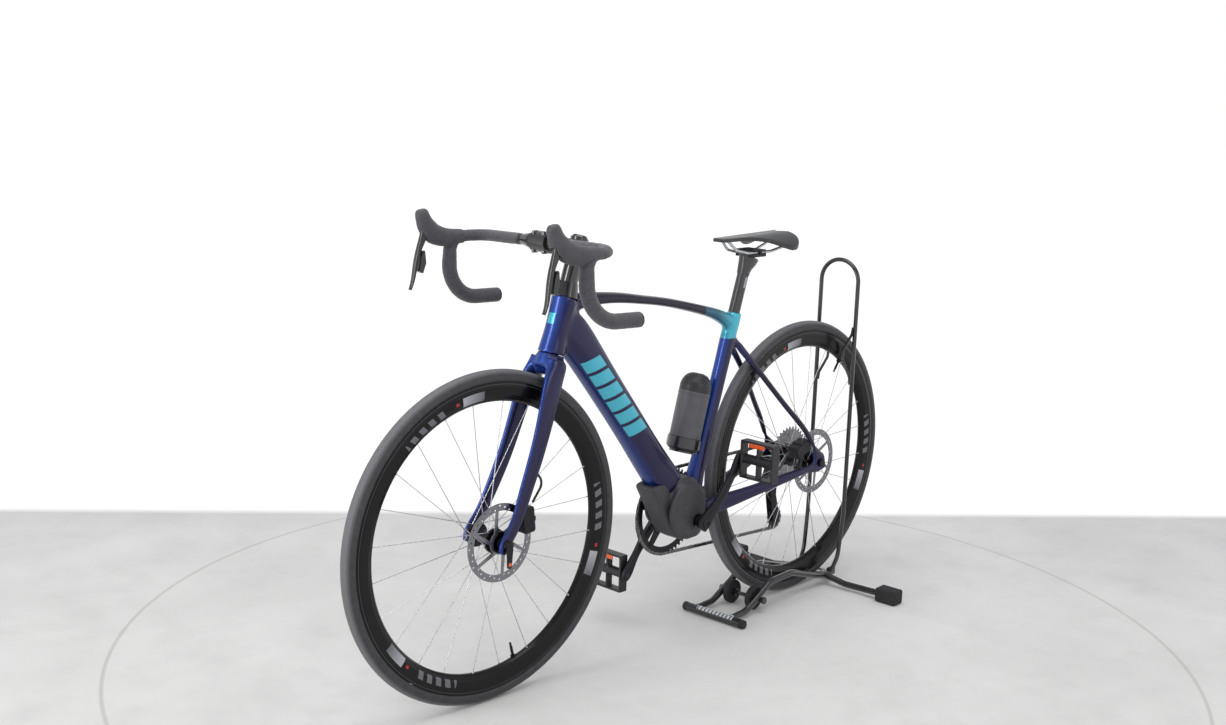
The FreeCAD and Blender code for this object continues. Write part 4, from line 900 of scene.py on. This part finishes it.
for side, word in ((1, "left"), (-1, "right")):
    verts, faces = tape(side)
    wrap = made("tape_wrap_" + word, verts, faces, "tape", "steering", STEER_TURN)
    if side == 1:
        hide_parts("bar_tape")
    end = at(820, side * 215, 791)
    out = (end - at(951, side * 212, 794)).normalized()
    verts, faces = lathe(PLUG_PROFILE, end, out, 48)
    made("bar_plug_" + word, verts, faces, "gloss", "steering", STEER_TURN, sharp=40)
    verts, faces = lathe(BAND_PROFILE, at(877, side * 66, 925), (0, side, 0), 40)
    made("tape_finish_band_" + word, verts, faces, "gloss", "steering", STEER_TURN, sharp=40)


# ---------------------------------------------------------------- saddle
SADDLE_TOP_Z = 0.900
CHANNEL_TAIL = 135
CHANNEL_NOSE = 320
CHANNEL_DEPTH = 0.0018
CHANNEL_HALF = 0.011


def saddle_relief(co):
    """Shallow pressure channel along the middle."""
    mm = (co.x - REAR.x) / MM
    if co.z > SADDLE_TOP_Z and CHANNEL_TAIL < mm < CHANNEL_NOSE:
        fade = clamp01((mm - CHANNEL_TAIL) / 40) * clamp01((CHANNEL_NOSE - mm) / 60)
        co.z -= CHANNEL_DEPTH * fade * math.exp(-(co.y / CHANNEL_HALF) ** 2)
    return co


saddle = moulded("saddle_cover", ["saddle"], 0.0013, 9, "saddle_top", "seat", saddle_relief)
# faces turned downwards take the lighter side grey, partly the panel's colour and partly a painted
# reflection
saddle.data.materials.append(M["saddle_side"])
for face in saddle.data.polygons:
    if face.normal.z < -0.2:
        face.material_index = 1


# ---------------------------------------------------------------- chain
PITCH = 0.0127
RING_Y = -0.050
CHAIN_COG_TEETH = 14
CHAINRING_TEETH = 50
JOCKEY_TEETH = 12
PLATE_THICK = 0.0007
PLATE_END_R = 0.0041
PLATE_WAIST_R = 0.0031
OUTER_GAP = 0.00205
INNER_GAP = 0.0013
# half length, inner and outer radius, and steps round
PIN = (0.00275, 0.0013, 0.0017, 12)
ROLLER = (0.0012, 0.0030, 0.0036, 14)


def pitch_radius(teeth):
    """Radius at which a chain's pins run round a sprocket."""
    return PITCH / (2 * math.sin(math.pi / teeth))


def chain_points():
    """Pin centres along the chain's closed loop."""
    upper = Vector(JOINTS["jockey_upper_spin"]["pos_m"])
    lower = Vector(JOINTS["jockey_lower_spin"]["pos_m"])
    wheels = [(CRANK, pitch_radius(CHAINRING_TEETH), -1), (lower, pitch_radius(JOCKEY_TEETH), -1),
              (upper, pitch_radius(JOCKEY_TEETH), 1), (REAR, pitch_radius(CHAIN_COG_TEETH), -1)]
    n = len(wheels)
    heads = []
    for i in range(n):
        (c1, r1, s1), (c2, r2, s2) = wheels[i], wheels[(i + 1) % n]
        dx, dz = c2.x - c1.x, c2.z - c1.z
        heads.append(math.atan2(dz, dx) - math.asin((s2 * r2 - s1 * r1) / math.hypot(dx, dz)))
    dense = []
    for i in range(n):
        c, r, s = wheels[i]
        a_in, a_out = heads[i - 1] - s * math.pi / 2, heads[i] - s * math.pi / 2
        sweep = (s * (a_out - a_in)) % (2 * math.pi)
        for k in range(61):
            a = a_in + s * sweep * k / 60
            dense.append(Vector((c.x + r * math.cos(a), RING_Y, c.z + r * math.sin(a))))
    total = sum((dense[(i + 1) % len(dense)] - dense[i]).length for i in range(len(dense)))
    count = int(round(total / PITCH / 2)) * 2
    spacing = total / count
    out, want, walked = [], 0.0, 0.0
    for i in range(len(dense)):
        a, b = dense[i], dense[(i + 1) % len(dense)]
        run = (b - a).length
        while want < walked + run - 1e-9 and len(out) < count:
            out.append(a.lerp(b, (want - walked) / run))
            want += spacing
        walked += run
    return out


def link_plate(a, b, y):
    """Figure-eight side plate between two pins."""
    d = (b - a).normalized()
    up = Vector((-d.z, 0, d.x))
    mid = (a + b) / 2
    half = (b - a).length / 2
    outline = []
    for t in turns(20):
        x, z = math.cos(t), math.sin(t)
        along = half * max(-1.0, min(1.0, x * 1.25)) + PLATE_END_R * x
        waist = PLATE_END_R - (PLATE_END_R - PLATE_WAIST_R) * math.exp(-(along / (half * 0.75)) ** 2)
        outline.append(mid + d * along + up * (waist * (1 if z >= 0 else -1) * abs(z) ** 0.7))
    rings = [[p + Vector((0, y + offset - RING_Y, 0)) for p in outline] for offset in (0.0, PLATE_THICK)]
    return ring_mesh(rings)


def barrel(pin, half, inner, outer, steps):
    """Short tube across the chain."""
    return lathe([(-half, inner), (-half, outer), (half, outer), (half, inner)], pin, (0, 1, 0), steps)


def chain():
    """Two plates, a pin and a roller for every link."""
    pins = chain_points()
    parts = []
    for i, p in enumerate(pins):
        gap = OUTER_GAP if i % 2 == 0 else INNER_GAP
        for offset in (gap, -gap - PLATE_THICK):
            parts.append(link_plate(p, pins[(i + 1) % len(pins)], RING_Y + offset))
        parts.append(barrel(p, *PIN))
        parts.append(barrel(p, *ROLLER))
    return join(parts)


verts, faces = chain()
links = made("chain_links", verts, faces, "chain_steel", None, smooth=False)
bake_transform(links)
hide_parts("chain")


# ---------------------------------------------------------------- screws and small fittings
SCREW_STEPS = 24


def screw(point, axis, radius, height):
    """Cap screw with a chamfered rim and a six-sided socket."""
    axis, side, up = across(axis)
    rings = [circle(point + axis * s, side, up, r, SCREW_STEPS)
             for s, r in ((0.0, radius), (height - radius * 0.14, radius), (height, radius * 0.86))]
    for s, share in ((height, 0.50), (height - radius * 0.7, 0.48)):
        ring = []
        for a in turns(SCREW_STEPS):
            sector = (a % (math.pi / 3)) - math.pi / 6
            reach = radius * share * math.cos(math.pi / 6) / math.cos(sector)
            ring.append(point + axis * s + (side * math.cos(a) + up * math.sin(a)) * reach)
        rings.append(ring)
    return ring_mesh(rings)


def screws(name, body, places, key="dark_screw", turn=IDENTITY):
    """Several screws as one piece; a place is (point, axis, radius, height)."""
    verts, faces = join([screw(*place) for place in places])
    return made(name, verts, faces, key, body, turn, sharp=30)


BAR_CENTRE = at(877, 0, 925)
FACEPLATE_X = 0.0149
screws("faceplate_screws", "steering",
       [(BAR_CENTRE + Vector((FACEPLATE_X, y * MM, z * MM)), (1, 0, 0), 0.0032, 0.0012)
        for y in (-15, 15) for z in (-18.2, 18.2)],
       "steel", STEER_TURN)

RING_BOLT_R = 0.055
RING_BOLT_Y = RING_Y - 0.0042
ring_bolts = []
for k in range(4):
    a = 2 * math.pi * (k + 0.35) / 4
    ring_bolts.append((CRANK + Vector((RING_BOLT_R * math.cos(a), RING_BOLT_Y, RING_BOLT_R * math.sin(a))),
                       (0, -1, 0), 0.0055, 0.0016))
screws("chainring_screws", "crankset", ring_bolts)

CRANK_FACE_Y = 0.0725
CRANK_CAP_PROFILE = [(-0.002, 0.0125), (0.0, 0.0125), (0.0016, 0.0118), (0.0020, 0.0105), (0.0014, 0.0095),
                     (0.0014, 0.0050), (0.0002, 0.0047), (0.0002, 0.0010)]
for side, word in ((1, "left"), (-1, "right")):
    verts, faces = lathe(CRANK_CAP_PROFILE, CRANK + Vector((0, side * CRANK_FACE_Y, 0)), (0, side, 0), 48)
    made("crank_cap_" + word, verts, faces, "dark_screw", "crankset", sharp=35)

REFLECTOR_HALF_W = 0.022
REFLECTOR_HALF_H = 0.0048
REFLECTOR_FACE = 0.0121
REFLECTOR_SUNK = 0.0006
REFLECTOR_RISE = 0.0355
REFLECTOR_IN = 0.047
SQUARENESS = 0.3


def reflector(word):
    """Raised bars on the front and back of one pedal."""
    lo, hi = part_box("pedal_" + word)
    cx, _, cz = JOINTS["pedal_" + word + "_spin"]["pos_m"]
    y_mid = (max(abs(lo.y), abs(hi.y)) - REFLECTOR_IN) * (1 if word == "left" else -1)
    parts = []
    for s in (-1, 1):
        rings = []
        for depth, inset in ((0.0, 0.0), (0.0018, 0.0), (0.0026, 0.0012)):
            face_x = cx + s * (REFLECTOR_FACE - REFLECTOR_SUNK + depth)
            ring = []
            for a in turns(24):
                c, sn = math.cos(a), math.sin(a)
                y = (REFLECTOR_HALF_W - inset) * math.copysign(abs(c) ** SQUARENESS, c)
                z = (REFLECTOR_HALF_H - inset) * math.copysign(abs(sn) ** SQUARENESS, sn)
                ring.append(Vector((face_x, y_mid + y, cz + REFLECTOR_RISE + z)))
            rings.append(ring)
        parts.append(ring_mesh(rings))
    return join(parts)


for word in ("left", "right"):
    verts, faces = reflector(word)
    made("pedal_reflector_" + word, verts, faces, "orange", "pedal_" + word, smooth=False)

# orange grip on the front axle lever
verts, faces = lathe([(0.0, 0.0040), (0.0006, 0.0040), (0.0010, 0.0033)], at(1016.5, 74, 304), (0, 1, 0), 24)
made("axle_lever_tag", verts, faces, "orange", "steering", STEER_TURN, sharp=30)


# ---------------------------------------------------------------- weld beads on the stand
BEAD_THICK = 0.0016
# x, y and z in millimetres, the tube's direction and the bead's radius in metres
WELDS = [(308.0, 50, 10.5, (1, 0, 0), 0.0080), (-89, 58, 24.0, (0, 1, -0.15), 0.0076),
         (-149, 50.5, 652, (0, 1, 0), 0.0030), (-149, 50.5, 518, (0, 1, 0), 0.0030)]


def bead(centre, normal, radius):
    """Rippled ring of weld metal round a tube."""
    normal, side, up = across(normal)
    rings = []
    for a in turns(72):
        out = side * math.cos(a) + up * math.sin(a)
        lump = BEAD_THICK * (1.0 + 0.18 * math.sin(a * 18))
        rings.append([Vector(centre) + out * (radius + lump * math.cos(b)) + normal * (lump * math.sin(b))
                      for b in turns(10)])
    return ring_mesh(rings, closed_path=True)


verts, faces = join([bead(at(x, side * y, z), normal, radius)
                     for side in (1, -1) for x, y, z, normal, radius in WELDS])
made("stand_weld_beads", verts, faces, "stand", "stand", STAND_TURN)


# ---------------------------------------------------------------- stage, camera and lights
VIEW_POINT = Vector((2.3417, 2.0711, 1.2370))
VIEW_DIR = Vector((-0.71183, -0.67636, -0.18930)).normalized()
VIEW_ROLL = math.radians(1.874)
LENS = 42.40

level = VIEW_DIR.cross(Vector((0, 0, 1))).normalized()
upright = level.cross(VIEW_DIR)
image_right = level * math.cos(VIEW_ROLL) + upright * math.sin(VIEW_ROLL)
image_up = upright * math.cos(VIEW_ROLL) - level * math.sin(VIEW_ROLL)
camera_data = bpy.data.cameras.new("camera")
camera_data.sensor_width = 36.0
camera_data.lens = LENS
camera = bpy.data.objects.new("camera", camera_data)
bpy.context.scene.collection.objects.link(camera)
basis = Matrix((image_right, image_up, -VIEW_DIR)).transposed().to_4x4()
camera.matrix_world = Matrix.Translation(VIEW_POINT) @ basis
bpy.context.scene.camera = camera

FLOOR_HALF = 30.0
WALL_LINE = 4.06
WALL_SKEW = 0.0933
TURNTABLE_R = 1.19
SEAM_HALF = 0.004
WHITE = (1.0, 1.0, 1.0)
BLACK = (0.0, 0.0, 0.0)

floor_mesh = bpy.data.meshes.new("floor")
CORNERS = ((-1, -1), (1, -1), (1, 1), (-1, 1))
floor_mesh.from_pydata([(sx * FLOOR_HALF, sy * FLOOR_HALF, 0) for sx, sy in CORNERS], [], [(0, 1, 2, 3)])
floor = bpy.data.objects.new("floor", floor_mesh)
bpy.context.scene.collection.objects.link(floor)


def floor_finish():
    """Clouded pale floor with a turntable's seam, fading to plain white in the distance."""
    g = Graph("pale_floor")
    g.shader.inputs["Roughness"].default_value = 0.62
    ahead = Vector((VIEW_DIR.x, VIEW_DIR.y, 0)).normalized()
    wall_normal = (ahead - level * WALL_SKEW).normalized()
    far = g.step(g.dot(tuple(wall_normal), (VIEW_POINT.x, VIEW_POINT.y, 0)), WALL_LINE, 0.05)
    cloud = g.spread(g.noise(1.9, 8.0, 0.62), 0.0, 1.0)
    near = g.mix(cloud, srgb(203, 201, 199), srgb(222, 221, 219))
    scuff = g.step(g.noise(7.0, 9.0, 0.7), 0.60, 0.25)
    near = g.mix(g.times(scuff, 0.35), near, srgb(188, 186, 184))
    x, y, _ = g.xyz()
    reach = g.length(x, y)
    seam = g.times(g.window(reach, TURNTABLE_R - SEAM_HALF, TURNTABLE_R + SEAM_HALF, SEAM_HALF), 0.45)
    near = g.mix(seam, near, srgb(160, 158, 156))
    far = g.math("MAXIMUM", far, g.step(reach, 2.9, 1.2))
    g.link(g.mix(far, near, BLACK), g.shader.inputs["Base Color"])
    g.link(g.mix(far, BLACK, WHITE), g.shader.inputs["Emission Color"])
    g.shader.inputs["Emission Strength"].default_value = 1.0
    g.link(g.bump(g.noise(90.0, 3.0), 0.05, 0.001), g.shader.inputs["Normal"])
    return g.mat


floor_mesh.materials.append(floor_finish())

world = bpy.data.worlds.new("world")
bpy.context.scene.world = world
world.use_nodes = True
background = world.node_tree.nodes["Background"]
coords = world.node_tree.nodes.new("ShaderNodeTexCoord")
split = world.node_tree.nodes.new("ShaderNodeSeparateXYZ")
ramp = world.node_tree.nodes.new("ShaderNodeValToRGB")
world.node_tree.links.new(coords.outputs["Generated"], split.inputs[0])
world.node_tree.links.new(split.outputs["Z"], ramp.inputs["Fac"])
ramp.color_ramp.elements[0].position = 0.09
ramp.color_ramp.elements[0].color = (1.0, 1.0, 1.0, 1)
ramp.color_ramp.elements[1].position = 0.50
ramp.color_ramp.elements[1].color = (0.55, 0.56, 0.58, 1)
world.node_tree.links.new(ramp.outputs["Color"], background.inputs["Color"])
background.inputs["Strength"].default_value = 1.0


def softbox(name, place, aim, width, height, power):
    """Rectangular light at a place, turned towards aim."""
    data = bpy.data.lights.new(name, "AREA")
    data.shape = "RECTANGLE"
    data.size = width
    data.size_y = height
    data.energy = power
    obj = bpy.data.objects.new(name, data)
    bpy.context.scene.collection.objects.link(obj)
    obj.location = place
    obj.rotation_mode = "QUATERNION"
    obj.rotation_quaternion = (Vector(aim) - Vector(place)).to_track_quat("-Z", "Y")


softbox("top_softbox", (0.3, 0.4, 3.6), (0.0, 0.0, 0.4), 3.2, 2.4, 62.0)
softbox("left_window", (4.2, -0.6, 1.5), (0.4, 0.0, 0.6), 1.0, 2.4, 70.0)
softbox("side_softbox", (0.4, 4.2, 2.4), (0.0, 0.0, 0.5), 2.2, 1.4, 22.0)
bpy.context.scene.view_settings.view_transform = "Standard"
bpy.context.scene.view_settings.look = "None"
